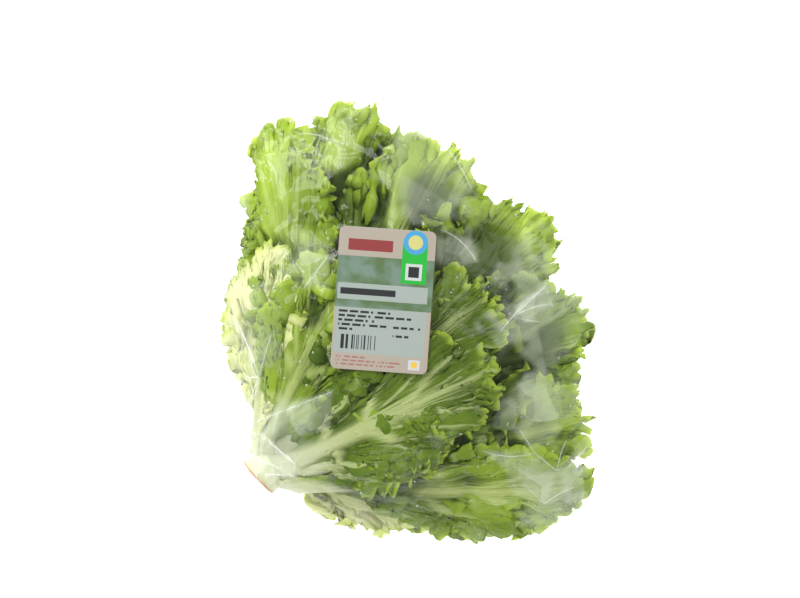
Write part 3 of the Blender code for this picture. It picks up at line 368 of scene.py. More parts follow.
class Blade:
    """The surface of one leaf over s, 0 base to 1 rim, and t, -1 to 1 round the rim."""

    SPREAD = math.radians(143)
    WIDEST = 0.62
    DROP = 0.40
    BASE_HALF = 12 * MM
    BASE_ROUND = 20 * MM
    LOBE, TOOTH, NOTCH = 0.11, 0.075, 0.025
    COUNTS = ((11, 3), (36, 8), (96, 16))
    RUFFLE_SHARE = 0.38

    def __init__(self, leaf: Leaf) -> None:
        """Chooses how many lobes, teeth and notches the leaf's rim has."""
        self.leaf = leaf
        self.rib = Rib(leaf)
        rng = np.random.default_rng(leaf.seed + 11)
        self.lobes, self.teeth, self.notches = (
            int(fewest + rng.integers(0, more)) for fewest, more in self.COUNTS
        )
        self.turns = rng.uniform(0, 1, 3)

    def jagged(self, t: np.ndarray) -> np.ndarray:
        """How far the cut rim stands out, as a share of the leaf's size."""
        warp = 0.05 * wander(t * 1.3, self.leaf.seed + 3)
        big = tooth((t + warp) * self.lobes / 2 + self.turns[0], 0.8) - 0.4
        small = tooth((t + warp * 0.6) * self.teeth / 2 + self.turns[1], 0.6) - 0.4
        fine = tooth((t + warp * 0.3) * self.notches / 2 + self.turns[2], 0.7) - 0.4
        uneven = 1 + 0.5 * wander(t * 3, self.leaf.seed + 4)
        sharp = 1 + 0.6 * wander(t * 5, self.leaf.seed + 6)
        cut = self.LOBE * big + self.TOOTH * small * uneven + self.NOTCH * fine * sharp
        return cut * ease(1.02, 0.8, np.abs(t))

    def flat(self, s: np.ndarray, t: np.ndarray, cut: bool) -> tuple[np.ndarray, np.ndarray]:
        """The leaf pressed flat. Its veins are the lines of one t.

        Args:
            s, t: where on the leaf.
            cut: whether the rim has its teeth.
        Returns:
            Distances sideways and along.
        """
        turn = t * self.SPREAD
        length = self.rib.length
        widest = self.WIDEST * length
        grow = 1 + 0.04 * wander(t * 1.1, self.leaf.seed + 5) + (self.jagged(t) if cut else 0)
        rim_x = self.leaf.half_width * MM * np.sin(turn) * grow
        reach = np.where(np.cos(turn) > 0, length - widest, self.DROP * length)
        rim_y = widest + reach * np.cos(turn) * grow
        base_x = self.BASE_HALF * t
        bend_x = 0.8 * base_x
        bend_y = widest * (1.05 - 0.85 * np.abs(t) ** 1.2)
        x = (1 - s) ** 2 * base_x + 2 * s * (1 - s) * bend_x + s * s * rim_x
        y = 2 * s * (1 - s) * bend_y + s * s * rim_y
        return x, y

    def surface(self, s: np.ndarray, t: np.ndarray, cut: bool) -> np.ndarray:
        """The flat leaf laid along its rib and bent round it."""
        x, y = self.flat(s, t, cut)
        at, side, out = self.rib.frame(y)
        bare = 1 - ease(0.0, 0.35, y / self.rib.length)
        bend = bare / self.BASE_ROUND + (1 - bare) * self.leaf.wrap
        sideways, inward = np.sin(bend * x) / bend, (1 - np.cos(bend * x)) / bend
        return at + sideways[..., None] * side - inward[..., None] * out

    def formed(self, s: np.ndarray, t: np.ndarray, ruffles: tuple[Ruffle, ...], cut: bool) -> np.ndarray:
        """The surface with its rim curled, waved and ruffled."""
        smooth = self.curled(self.surface(s, t, False), s)
        shape = self.curled(self.surface(s, t, True), s) if cut else smooth
        shape = self.frilled(shape, smooth, s, t, LONG_FRILL)
        if ruffles:
            along, depth = self.nearest_rim(s, t)
            for ruffle in ruffles:
                shape = self.ruffled(shape, s, t, along, depth, ruffle)
        return shape

    def nearest_rim(self, s: np.ndarray, t: np.ndarray) -> tuple[np.ndarray, np.ndarray]:
        """How far along the rim each flat point's nearest rim point is, and how far away."""
        flat = np.stack(self.flat(s, t, False), -1)
        rim = flat[-1]
        way = unit(np.gradient(rim, axis=0))
        length = np.concatenate([[0], np.cumsum(np.linalg.norm(np.diff(rim, axis=0), axis=1))])
        along, depth = np.zeros(s.shape), np.zeros(s.shape)
        for row, points in enumerate(flat):
            away = np.linalg.norm(points[:, None] - rim, axis=2)
            near = away.argmin(1)
            along[row] = length[near] + ((points - rim[near]) * way[near]).sum(1).clip(-MM, MM)
            depth[row] = away.min(1)
        return along, depth

    def ruffled(
        self,
        p: np.ndarray,
        s: np.ndarray,
        t: np.ndarray,
        along: np.ndarray,
        depth: np.ndarray,
        ruffle: Ruffle,
    ) -> np.ndarray:
        """The rim thrown into short folds.

        Args:
            p: the leaf's points.
            s, t: where on the leaf.
            along, depth: where along the rim and how far from it each point is.
            ruffle: the size of fold.
        Returns:
            The ruffled points.
        """
        across, _, normal = directions(p)
        seed = self.leaf.seed * 7 + round(ruffle.wave / MM)
        count = along / ruffle.wave
        astray = ripple(*self.flat(s, t, False), seed, 2 * ruffle.wave)
        phase = 2 * np.pi * count + 2.2 * wander(count / 7, seed) + 0.7 * astray
        most = min(ruffle.depth, self.RUFFLE_SHARE * self.leaf.half_width * MM)
        reach = most * (1 + 0.35 * wander(count / 3, seed + 1))
        height = ruffle.height * ease(reach, 0, depth) * (1 + 0.5 * wander(count / 4, seed + 2))
        height = height * self.leaf.ruffled * ease(1.0, 0.88, np.abs(t)) * ease(0.1, 0.35, s)
        sideways = ruffle.fold * height * np.sin(2 * phase)
        return p + (height * np.sin(phase))[..., None] * normal - sideways[..., None] * across

    def curled(self, p: np.ndarray, s: np.ndarray) -> np.ndarray:
        """The rim turned up or down, uneven along it."""
        normal = directions(p)[2]
        steps = np.diff(p, axis=0)
        size = np.linalg.norm(steps, axis=2, keepdims=True)
        ahead, up = unit(steps), (normal[1:] + normal[:-1]) / 2
        q = np.broadcast_to(self.rim_share(p)[0], s.shape)
        turn = -self.leaf.curl * (0.5 + 0.9 * wander(q * 1.2, self.leaf.seed + 31, 0.8, 2.0))
        turn = turn * ease(45 * MM, 0, self.from_rim(p)) * ease(0.98, 0.6, np.abs(q)) * ease(0.3, 0.6, s)
        half = ((turn[1:] + turn[:-1]) / 2)[..., None]
        moved = np.cumsum((np.cos(half) * ahead + np.sin(half) * up - ahead) * size, axis=0)
        return p + np.concatenate([np.zeros((1,) + p.shape[1:]), moved])

    def frilled(
        self, p: np.ndarray, smooth: np.ndarray, s: np.ndarray, t: np.ndarray, frill: Frill
    ) -> np.ndarray:
        """The rim longer than it has room for, so that it waves.

        Args:
            p: the leaf's points.
            smooth: the same leaf with an uncut rim, which sets where each wave falls.
            s, t: where on the leaf.
            frill: the size of wave.
        Returns:
            The waved points.
        """
        across, _, normal = directions(p)
        size = np.linalg.norm(np.diff(smooth, axis=1), axis=2)
        depth = self.from_rim(smooth)
        share, total = self.rim_share(smooth)
        q = np.broadcast_to(share, s.shape)
        ends = ease(1.0, 0.86, np.abs(t)) * ease(0.1, 0.4, s)
        waves, key = total / frill.wave / 2, round(frill.wave / MM)
        rng = np.random.default_rng(self.leaf.seed * 7 + key)
        phase = 1.3 * wander(q * waves / 5, self.leaf.seed + key) + rng.uniform(0, 2 * np.pi)
        phase = phase + depth / frill.wave * rng.uniform(-1.5, 1.5)
        uneven = 1 + 0.45 * wander(q * waves / 4, self.leaf.seed + 7 * key)
        amount = frill.steepness * ease(frill.depth, 0, depth) * ends
        steep = frill.limit * np.tanh(amount * uneven * np.sin(2 * np.pi * waves * q + phase) / frill.limit)
        half = (steep[:, 1:] + steep[:, :-1]) / 2
        window = max(3, round(p.shape[1] * frill.wave / total * 1.3) | 1)
        short = np.maximum(self.even(np.cos(half) * size, window), 0.5 * self.even(size, window))
        more = self.even(size, window) / short
        nought = np.zeros((len(s), 1))
        along = np.concatenate([nought, np.cumsum(size * (np.cos(half) * more - 1), 1)], 1)
        rise = np.concatenate([nought, np.cumsum(size * np.sin(half) * more, 1)], 1)
        quiet = ease(1.0, 0.8, np.abs(q))
        along = (along - self.even(along, window, odd=True)) * quiet
        rise = (rise - self.even(rise, window, odd=True)) * quiet
        return p + along[..., None] * across + rise[..., None] * normal

    @staticmethod
    def even(rows: np.ndarray, window: int, odd: bool = False) -> np.ndarray:
        """Each row averaged over a window of columns."""
        kernel = np.hanning(window + 2)[1:-1]
        kernel = kernel / kernel.sum()
        pad = ((0, 0), (window // 2, window // 2))
        ends = {"mode": "reflect", "reflect_type": "odd"} if odd else {"mode": "edge"}
        wide = np.pad(rows, pad, **ends)
        return np.stack([np.convolve(row, kernel, "valid") for row in wide])

    @staticmethod
    def from_rim(p: np.ndarray) -> np.ndarray:
        """How far each point is from the rim along its vein."""
        size = np.linalg.norm(np.diff(p, axis=0), axis=2)
        return np.concatenate([np.cumsum(size[::-1], 0)[::-1], np.zeros((1, p.shape[1]))])

    @staticmethod
    def rim_share(p: np.ndarray) -> tuple[np.ndarray, float]:
        """Where each column is along the rim, -1 to 1, and the rim's length."""
        size = np.concatenate([[0], np.cumsum(np.linalg.norm(np.diff(p[-1], axis=0), axis=1))])
        return 2 * size / size[-1] - 1, float(size[-1])


def ceiling_over(plan: np.ndarray) -> np.ndarray:
    """Height that the pressed head keeps under at plan points."""
    away = np.linalg.norm((plan - MIDDLE) / MIDDLE_RADII, axis=-1)
    return CEILING - CEILING_DROP * np.minimum(away, CEILING_REACH) ** 3


def kept_under(z: np.ndarray, top: np.ndarray, soft: float) -> np.ndarray:
    """Heights eased under a limit, in their order."""
    return top - soft * np.logaddexp(0, (top - z) / soft)


def between_table_and_film(p: np.ndarray) -> np.ndarray:
    """Points kept softly above the table and under the film."""
    p = p.copy()
    p[..., 2] = FLOOR + (p[..., 2] - FLOOR) * SQUEEZE
    p[..., 2] = kept_under(p[..., 2], ceiling_over(p[..., :2]), CEILING_SOFT)
    p[..., 2] = FLOOR + FLOOR_SOFT * np.logaddexp(0, (p[..., 2] - FLOOR) / FLOOR_SOFT)
    return p


class Ground:
    """Highest point so far over a square grid of cells."""

    CELL = 3 * MM
    HALF = 0.34
    FALL = 1.5 * MM

    def __init__(self) -> None:
        """Starts with the bare table."""
        count = int(2 * self.HALF / self.CELL)
        self.top = np.full((count, count), FLOOR)

    def cells(self, p: np.ndarray) -> tuple[np.ndarray, np.ndarray]:
        """Which cell each point is over."""
        ij = ((p[..., :2] + self.HALF) / self.CELL).astype(int).clip(0, len(self.top) - 1)
        return ij[..., 0], ij[..., 1]

    @classmethod
    def over(cls, grid: np.ndarray, p: np.ndarray) -> np.ndarray:
        """Values of a grid of cells at points, straight between the cells' middles."""
        at = (p[..., :2] + cls.HALF) / cls.CELL - 0.5
        return at_grid(grid, at[..., 0], at[..., 1])

    def lay(self, p: np.ndarray, times: int = 4) -> None:
        """Raises the ground to a grid of points, filled in between them."""
        fine = finer(p, times)
        np.maximum.at(self.top, self.cells(fine), fine[..., 2])
        self.top = np.maximum(self.top, around(self.top, np.maximum) - self.FALL)


class FilmRoom:
    """The room inside the film's solid: how high, how low and how far out it goes."""

    CELL = 2 * MM
    HALF = 0.19
    FILL_ROUNDS = 14
    SOFTEN_ROUNDS = 3
    RAY_STARTS = (0.3, -0.1)
    WALL_BULGE = 1.01
    DIRECTIONS = 144
    STEP = 0.5 * MM
    INSIDE = 1.4 * MM
    PRESS_SOFT = 1.6 * MM

    def __init__(self, solid: bpy.types.Object, shift: np.ndarray) -> None:
        """Feels the solid with rays from above and from below.

        Args:
            solid: the film's node.
            shift: from the butt to the part's frame.
        """
        self.shift = shift
        mesh = solid.data
        points = [(np.array(vertex.co) - shift).tolist() for vertex in mesh.vertices]
        tree = BVHTree.FromPolygons(points, [tuple(face.vertices) for face in mesh.polygons])
        count = int(2 * self.HALF / self.CELL)
        side = np.arange(count) * self.CELL - self.HALF
        self.top = np.full((count, count), np.nan)
        self.bottom = self.top.copy()
        above, below = self.RAY_STARTS
        for i, x in enumerate(side + MIDDLE[0]):
            for j, y in enumerate(side + MIDDLE[1]):
                hit = tree.ray_cast((x, y, above), (0, 0, -1))[0]
                if hit is not None:
                    self.top[i, j] = hit.z
                    self.bottom[i, j] = tree.ray_cast((x, y, below), (0, 0, 1))[0].z
        self.reach = self.outline(~np.isnan(self.top)) / self.WALL_BULGE
        self.top, self.bottom = self.filled(self.top), self.filled(self.bottom)

    def outline(self, hit: np.ndarray) -> np.ndarray:
        """How far the solid goes each way from the middle."""
        turns = np.arange(self.DIRECTIONS) / self.DIRECTIONS * 2 * np.pi
        reach = np.zeros(self.DIRECTIONS)
        for away in np.arange(self.STEP, self.HALF - self.CELL, self.STEP):
            at = ways(turns) * away + self.HALF
            i, j = (at / self.CELL).round().astype(int).T
            reach = np.where(hit[i, j], away, reach)
        return (np.roll(reach, 1) + 2 * reach + np.roll(reach, -1)) / 4

    def filled(self, grid: np.ndarray) -> np.ndarray:
        """A grid with its empty cells filled outward from its edge, and its facets softened."""
        for _ in range(self.FILL_ROUNDS):
            q = np.pad(grid, 1, mode="edge")
            near = np.stack([q[2:, 1:-1], q[:-2, 1:-1], q[1:-1, 2:], q[1:-1, :-2]])
            known = ~np.isnan(near)
            mean = np.where(known, near, 0).sum(0) / np.maximum(known.sum(0), 1)
            grid = np.where(np.isnan(grid) & known.any(0), mean, grid)
        grid = np.where(np.isnan(grid), np.nanmin(grid), grid)
        return blurred(grid, self.SOFTEN_ROUNDS)

    def edge(self, turn: np.ndarray) -> np.ndarray:
        """How far out the film's side is each way from the middle."""
        at = (turn / (2 * np.pi) * self.DIRECTIONS) % self.DIRECTIONS
        return np.interp(at, np.arange(self.DIRECTIONS + 1), np.append(self.reach, self.reach[0]))

    def height(self, grid: np.ndarray, plan: np.ndarray) -> np.ndarray:
        """Height of the upper or lower film over plan points."""
        at = (plan - MIDDLE + self.HALF) / self.CELL
        return at_grid(grid, at[..., 0], at[..., 1])

    def keep_inside(self, p: np.ndarray) -> np.ndarray:
        """Points pressed by the film where they would go through it."""
        p = p.copy()
        off = p[..., :2] - MIDDLE
        away = np.linalg.norm(off, axis=-1)
        limit = self.edge(np.arctan2(off[..., 1], off[..., 0])) - self.INSIDE
        share = kept_under(away, limit, self.PRESS_SOFT) / np.maximum(away, MM)
        p[..., :2] = MIDDLE + off * share[..., None]
        top = self.height(self.top, p[..., :2]) - self.INSIDE
        p[..., 2] = kept_under(p[..., 2], top, self.PRESS_SOFT)
        low = self.height(self.bottom, p[..., :2]) + self.INSIDE
        p[..., 2] = low + self.PRESS_SOFT * np.logaddexp(0, (p[..., 2] - low) / self.PRESS_SOFT)
        return p


def row_share(s: np.ndarray) -> np.ndarray:
    """Shares of the way to the rim, closer together near it."""
    return 1 - (1 - s) ** 1.35


class Pile:
    """Lays the leaves on the table one after another and keeps how far each one rises."""

    ROWS, COLUMNS = 21, 97
    GAP = 3.0 * MM
    STALK_GAP = 2.0 * MM
    TABLE_GAP = 2 * MM
    REST_GAP = 1.3 * MM
    REST_MOST = 9 * MM
    REST_WIDEN, REST_ROUNDS = 2, 5
    CROWDED = (10 * MM, 60 * MM)
    SPREAD_ROUNDS, SPREAD_SHARE, SMOOTH_ROUNDS = 14, 0.985, 2
    # Painted shade in the head's hollows: how far below the blurred top it starts and is full, how wide the
    # blur is, and how far in from the outline it fades in.
    HOLLOW_SHADE = (0.5 * MM, 6.0 * MM)
    HOLLOW_SHADE_ROUNDS = 120
    OUTSKIRTS = (6 * MM, 42 * MM)

    def __init__(self, leaves: tuple[Leaf, ...], room: FilmRoom) -> None:
        """Lays the leaves in their order, lowest first, inside the film's room."""
        self.room = room
        self.s, self.t = np.meshgrid(
            np.linspace(0, 1, self.ROWS), np.linspace(-1, 1, self.COLUMNS), indexing="ij"
        )
        self.ground, self.finished = Ground(), Ground()
        self.rises = {leaf.name: self.lay(leaf) for leaf in leaves}

    @classmethod
    def free(cls, p: np.ndarray) -> np.ndarray:
        """Nought at the butt, where the leaves crowd together, and one away from it."""
        return ease(*cls.CROWDED, np.linalg.norm(p[..., :2], axis=-1))

    def lay(self, leaf: Leaf) -> np.ndarray:
        """Lays one leaf with its long waves only.

        Args:
            leaf: the leaf.
        Returns:
            The rise over the leaf's own grid.
        """
        p = Blade(leaf).formed(self.s, self.t, (), False)
        gap = self.GAP + self.STALK_GAP * (1 - self.s) ** 2
        need = (self.ground.top[self.ground.cells(p)] + gap - p[..., 2]) * self.free(p)
        need = np.maximum(np.maximum(need, FLOOR + self.TABLE_GAP - p[..., 2]), 0)
        rise = self.spread(need)
        p[..., 2] += rise
        self.ground.lay(p)
        return rise

    @classmethod
    def spread(cls, need: np.ndarray) -> np.ndarray:
        """A smooth rise that gives each point what it needs."""
        rise = need
        for _ in range(cls.SPREAD_ROUNDS):
            rise = np.maximum(need, cls.mean(rise) * cls.SPREAD_SHARE)
        for _ in range(cls.SMOOTH_ROUNDS):
            rise = cls.mean(rise)
        return rise

    @staticmethod
    def mean(grid: np.ndarray) -> np.ndarray:
        """Mean over near rows and columns."""
        q = np.pad(grid, ((1, 1), (2, 2)), mode="edge")
        wide = (q[:, 4:] + q[:, 3:-1] + q[:, 2:-2] + q[:, 1:-3] + q[:, :-4]) / 5
        return (wide[2:] + 2 * wide[1:-1] + wide[:-2]) / 4

    def over(self, grid: np.ndarray, s: np.ndarray, t: np.ndarray) -> np.ndarray:
        """Values of one of the pile's grids at any s and t."""
        return at_grid(grid, s * (self.ROWS - 1), (t + 1) / 2 * (self.COLUMNS - 1))

    @staticmethod
    def evened(p: np.ndarray, values: np.ndarray, widen: int, rounds: int) -> np.ndarray:
        """Values on a leaf's points made even over the plan.

        Args:
            p: the points.
            values: one number each.
            widen: how many cells the greatest values spread.
            rounds: how often they are averaged with their neighbours.
        Returns:
            The even values.
        """
        grid = Ground()
        cells = grid.cells(p)
        field, mask = np.zeros_like(grid.top), np.zeros_like(grid.top)
        np.maximum.at(field, cells, values)
        mask[cells] = 1.0
        for _ in range(widen):
            field = around(field, np.maximum) * mask
        total = field
        for _ in range(rounds):
            total, mask = (around(part, np.add) / 5 for part in (total, mask))
        even = total / np.maximum(mask, 1e-6)
        return Ground.over(even, p)

    def rest(self, p: np.ndarray) -> np.ndarray:
        """Raises a finished leaf clear of those under it, and adds it to the ground.

        Args:
            p: the leaf's points, after the table and the film have pressed them.
        Returns:
            The points where they end.
        """
        need = (self.finished.top[self.finished.cells(p)] + self.REST_GAP - p[..., 2]) * self.free(p)
        p = p.copy()
        p[..., 2] += self.evened(p, need.clip(0, self.REST_MOST), self.REST_WIDEN, self.REST_ROUNDS)
        p = self.room.keep_inside(p)
        self.finished.lay(p, times=2)
        return p

    def painted_hollow_shade(self, p: np.ndarray) -> np.ndarray:
        """How much painted shade points get, 0 to 1: more the deeper they lie in a hollow of the finished
        head, fading out near the outline.
        """
        rim = Ground.over(blurred(self.finished.top, self.HOLLOW_SHADE_ROUNDS), p)
        off = p[..., :2] - MIDDLE
        inward = self.room.edge(np.arctan2(off[..., 1], off[..., 0])) - np.linalg.norm(off, axis=-1)
        return ease(*self.HOLLOW_SHADE, rim - p[..., 2]) * ease(*self.OUTSKIRTS, inward)


def blurred(grid: np.ndarray, rounds: int) -> np.ndarray:
    """A grid averaged with its neighbours, again and again."""
    for _ in range(rounds):
        q = np.pad(grid, 1, mode="edge")
        grid = (grid * 2 + (q[2:, 1:-1] + q[:-2, 1:-1] + q[1:-1, 2:] + q[1:-1, :-2]) / 2) / 4
    return grid


@dataclass(frozen=True)
class Vein:
    """One rib or vein of a leaf: where it ends on the rim, where it leaves, and its size in metres."""

    t: float
    parent: float
    leaves_at: float
    half_width: float
    ridge: float

    def line(self, s: np.ndarray) -> np.ndarray:
        """Its t at each s."""
        return self.parent + (self.t - self.parent) * ease(self.leaves_at, self.leaves_at + 0.4, s)

    def narrowing(self, s: np.ndarray) -> np.ndarray:
        """Its size at each s, as a share of its size where it starts."""
        return (1 - s).clip(0, 1) ** 0.65 * ease(self.leaves_at - 0.03, self.leaves_at + 0.05, s) + 0.06


class LeafMesh:
    """A finished leaf: its points, and what its finish needs to know at each of them."""

    SIDE_RIBS = (0.22, 0.47, 0.74)
    PUCKER = 2.2 * MM
    PUCKER_WAVE = 32 * MM
    FOLD = 1.1 * MM
    FOLD_WAVE = 12 * MM
    RIDGE_WIDER, RIDGE_LEAST = 1.5, 0.5 * MM
    MASK_WIDER, MASK_LEAST = 1.35, 0.3 * MM
    RIM_DEPTH = 6 * MM
    RISE_ROUNDS = 4

    def __init__(self, leaf: Leaf, pile: Pile) -> None:
        """Forms the leaf in full and rests it on those before it in the pile."""
        self.leaf, self.pile = leaf, pile
        rows, columns = ROWS_AND_COLUMNS[leaf.place]
        self.s, self.t = np.meshgrid(
            row_share(np.linspace(0, 1, rows)), np.linspace(-1, 1, columns), indexing="ij"
        )
        blade = Blade(leaf)
        p = blade.formed(self.s, self.t, RUFFLES, True)
        rise = pile.over(pile.rises[leaf.name], self.s, self.t)
        p[..., 2] += pile.evened(p, rise, 0, self.RISE_ROUNDS)
        normal = directions(p)[2]
        x, y = blade.flat(self.s, self.t, True)
        self.width = np.linalg.norm(np.gradient(p, axis=1), axis=2) * (columns - 1) / 2
        self.vein, ridge = self.drawn_veins()
        p = p + (self.puckered(x, y) + ridge)[..., None] * normal
        self.points = pile.rest(between_table_and_film(p))
        self.rim = ease(self.RIM_DEPTH, 0, blade.from_rim(self.points))

    def veins(self) -> list[Vein]:
        """The middle rib, the side ribs and the small veins between them."""
        rng = np.random.default_rng(self.leaf.seed + 91)
        width = (7.0 + 5.0 * self.leaf.ribbed) * MM
        ribs = [Vein(t=0.0, parent=0.0, leaves_at=0.0, half_width=width, ridge=4.4 * MM)]
        for sign in (-1, 1):
            before = 0.0
            for k, t in enumerate(self.SIDE_RIBS):
                t = sign * (t + rng.uniform(-0.02, 0.02))
                start, width, ridge = 0.42 - 0.16 * k, (4.6 - 0.5 * k) * MM, (3.2 - 0.4 * k) * MM
                ribs.append(Vein(t, parent=t * 0.1, leaves_at=start, half_width=width, ridge=ridge))
                end = before + (t - before) * rng.uniform(0.4, 0.6)
                start = rng.uniform(0.38, 0.5)
                ribs.append(Vein(end, before, start, half_width=1.3 * MM, ridge=0.5 * MM))
                before = t
        return ribs

    def drawn_veins(self) -> tuple[np.ndarray, np.ndarray]:
        """Returns: how much each point is on a vein, 0 to 1, and how far it stands up."""
        mask, ridge = np.zeros_like(self.s), np.zeros_like(self.s)
        for vein in self.veins():
            size = vein.narrowing(self.s)
            off = np.abs(self.t - vein.line(self.s)) * self.width
            half = vein.half_width * size
            on = np.exp(-((off / (half * self.MASK_WIDER + self.MASK_LEAST)) ** 3))
            wide = np.exp(-((off / (half * self.RIDGE_WIDER + self.RIDGE_LEAST)) ** 2))
            start = ease(vein.leaves_at - 0.02, vein.leaves_at + 0.06, self.s)
            on, wide = on * start, wide * start
            mask = np.maximum(mask, on * (0.2 + 0.8 * size**0.7))
            ridge = np.maximum(ridge, wide * vein.ridge * size)
        return (mask * self.leaf.ribbed**0.7).clip(0, 1), ridge * self.leaf.ribbed**0.5

    def puckered(self, x: np.ndarray, y: np.ndarray) -> np.ndarray:
        """How far the blade bulges between its veins."""
        bumps = self.PUCKER * ripple(x, y, self.leaf.seed + 57, self.PUCKER_WAVE)
        folds = self.FOLD * np.abs(ripple(x, y, self.leaf.seed + 58, self.FOLD_WAVE))
        return (bumps + folds) * ease(0.12, 0.45, self.s) * (1 - 0.5 * self.vein)

    def object(self, finish: bpy.types.Material) -> bpy.types.Object:
        """The leaf in its material, made once all the leaves are in the pile."""
        rows, columns = self.s.shape
        index = np.arange(rows * columns).reshape(rows, columns)
        faces = np.stack([index[:-1, :-1], index[:-1, 1:], index[1:, 1:], index[1:, :-1]], -1)
        made = mesh_object(f"lettuce_{self.leaf.name}", self.points + self.pile.room.shift, faces)
        add_field(made, "vein", self.vein)
        # Nearness to the rim: it brightens the colour there, partly a painted highlight, and lets more
        # light through.
        add_field(made, "rim", self.rim)
        add_field(made, "way", self.s)
        # Painted shade: how much the leaf darkens where it lies deep in a hollow of the head.
        add_field(made, "hollow_shade", self.pile.painted_hollow_shade(self.points))
        made.data.materials.append(finish)
        return made


def linked(name: str, data: bpy.types.ID) -> bpy.types.Object:
    """A new object in the scene."""
    made = bpy.data.objects.new(name, data)
    bpy.context.scene.collection.objects.link(made)
    return made


def bare_object(name: str, points: np.ndarray, edges: list, faces: list) -> bpy.types.Object:
    """An object in the scene from an array of points and lists of edges and faces."""
    mesh = bpy.data.meshes.new(name)
    mesh.from_pydata(points.reshape(-1, 3).tolist(), edges, faces)
    return linked(name, mesh)


def mesh_object(name: str, points: np.ndarray, faces: np.ndarray) -> bpy.types.Object:
    """A smooth-shaded object in the scene from arrays of points and faces."""
    made = bare_object(name, points, [], faces.reshape(-1, faces.shape[-1]).tolist())
    made.data.shade_smooth()
    return made


def closed_faces(
    count: int, rings: int, is_open: Callable[[int, int], bool] = lambda column, row: False
) -> np.ndarray:
    """Triangles of a form made of rings of points, with one more point at each end.

    Args:
        count: how many points each ring has.
        rings: how many rings.
        is_open: says whether the place after a column and a row is left open.
    Returns:
        The triangles. The points at the ends come after the rings.
    """
    faces, last = [], rings - 1
    for k in range(count):
        n = (k + 1) % count
        faces.append((k, n, count * rings))
        faces.append((last * count + n, last * count + k, count * rings + 1))
        for r in range(last):
            if not is_open(k, r):
                a, b, c, d = r * count + k, r * count + n, (r + 1) * count + n, (r + 1) * count + k
                faces += [(a, d, c), (a, c, b)]
    return np.array(faces)


def add_field(thing: bpy.types.Object, name: str, values: np.ndarray) -> None:
    """Stores one number for each point of a mesh."""
    layer = thing.data.attributes.new(name, "FLOAT", "POINT")
    layer.data.foreach_set("value", values.astype(np.float32).ravel())


class Value:
    """A socket's value that takes part in Python expressions by adding Math nodes."""

    def __init__(self, graph: "Graph", socket: bpy.types.NodeSocket) -> None:
        """Keeps the socket and the graph it is in."""
        self.graph, self.socket = graph, socket

    def maths(self, operation: str, *others: Any) -> "Value":
        """The result of a Math node whose first value is this one."""
        sockets = dict(enumerate((self, *others)))
        return self.graph.add("ShaderNodeMath", {"operation": operation}, sockets)

    def __add__(self, other: Any) -> "Value":
        """Sum."""
        return self.maths("ADD", other)

    __radd__ = __add__

    def __mul__(self, other: Any) -> "Value":
        """Product."""
        return self.maths("MULTIPLY", other)

    __rmul__ = __mul__

    def __sub__(self, other: Any) -> "Value":
        """Difference."""
        return self.maths("SUBTRACT", other)

    def __rsub__(self, other: float) -> "Value":
        """Difference from a number."""
        return self * -1.0 + other

    def __truediv__(self, other: Any) -> "Value":
        """Quotient."""
        return self.maths("DIVIDE", other)

    def __gt__(self, other: Any) -> "Value":
        """One where this is greater, else nought."""
        return self.maths("GREATER_THAN", other)

    def __lt__(self, other: Any) -> "Value":
        """One where this is less, else nought."""
        return self.maths("LESS_THAN", other)

    def eased(self, low: float, high: float) -> "Value":
        """Nought below low and one above high, smooth between."""
        sockets = {"Value": self, "From Min": low, "From Max": high}
        return self.graph.add("ShaderNodeMapRange", {"interpolation_type": "SMOOTHSTEP"}, sockets)


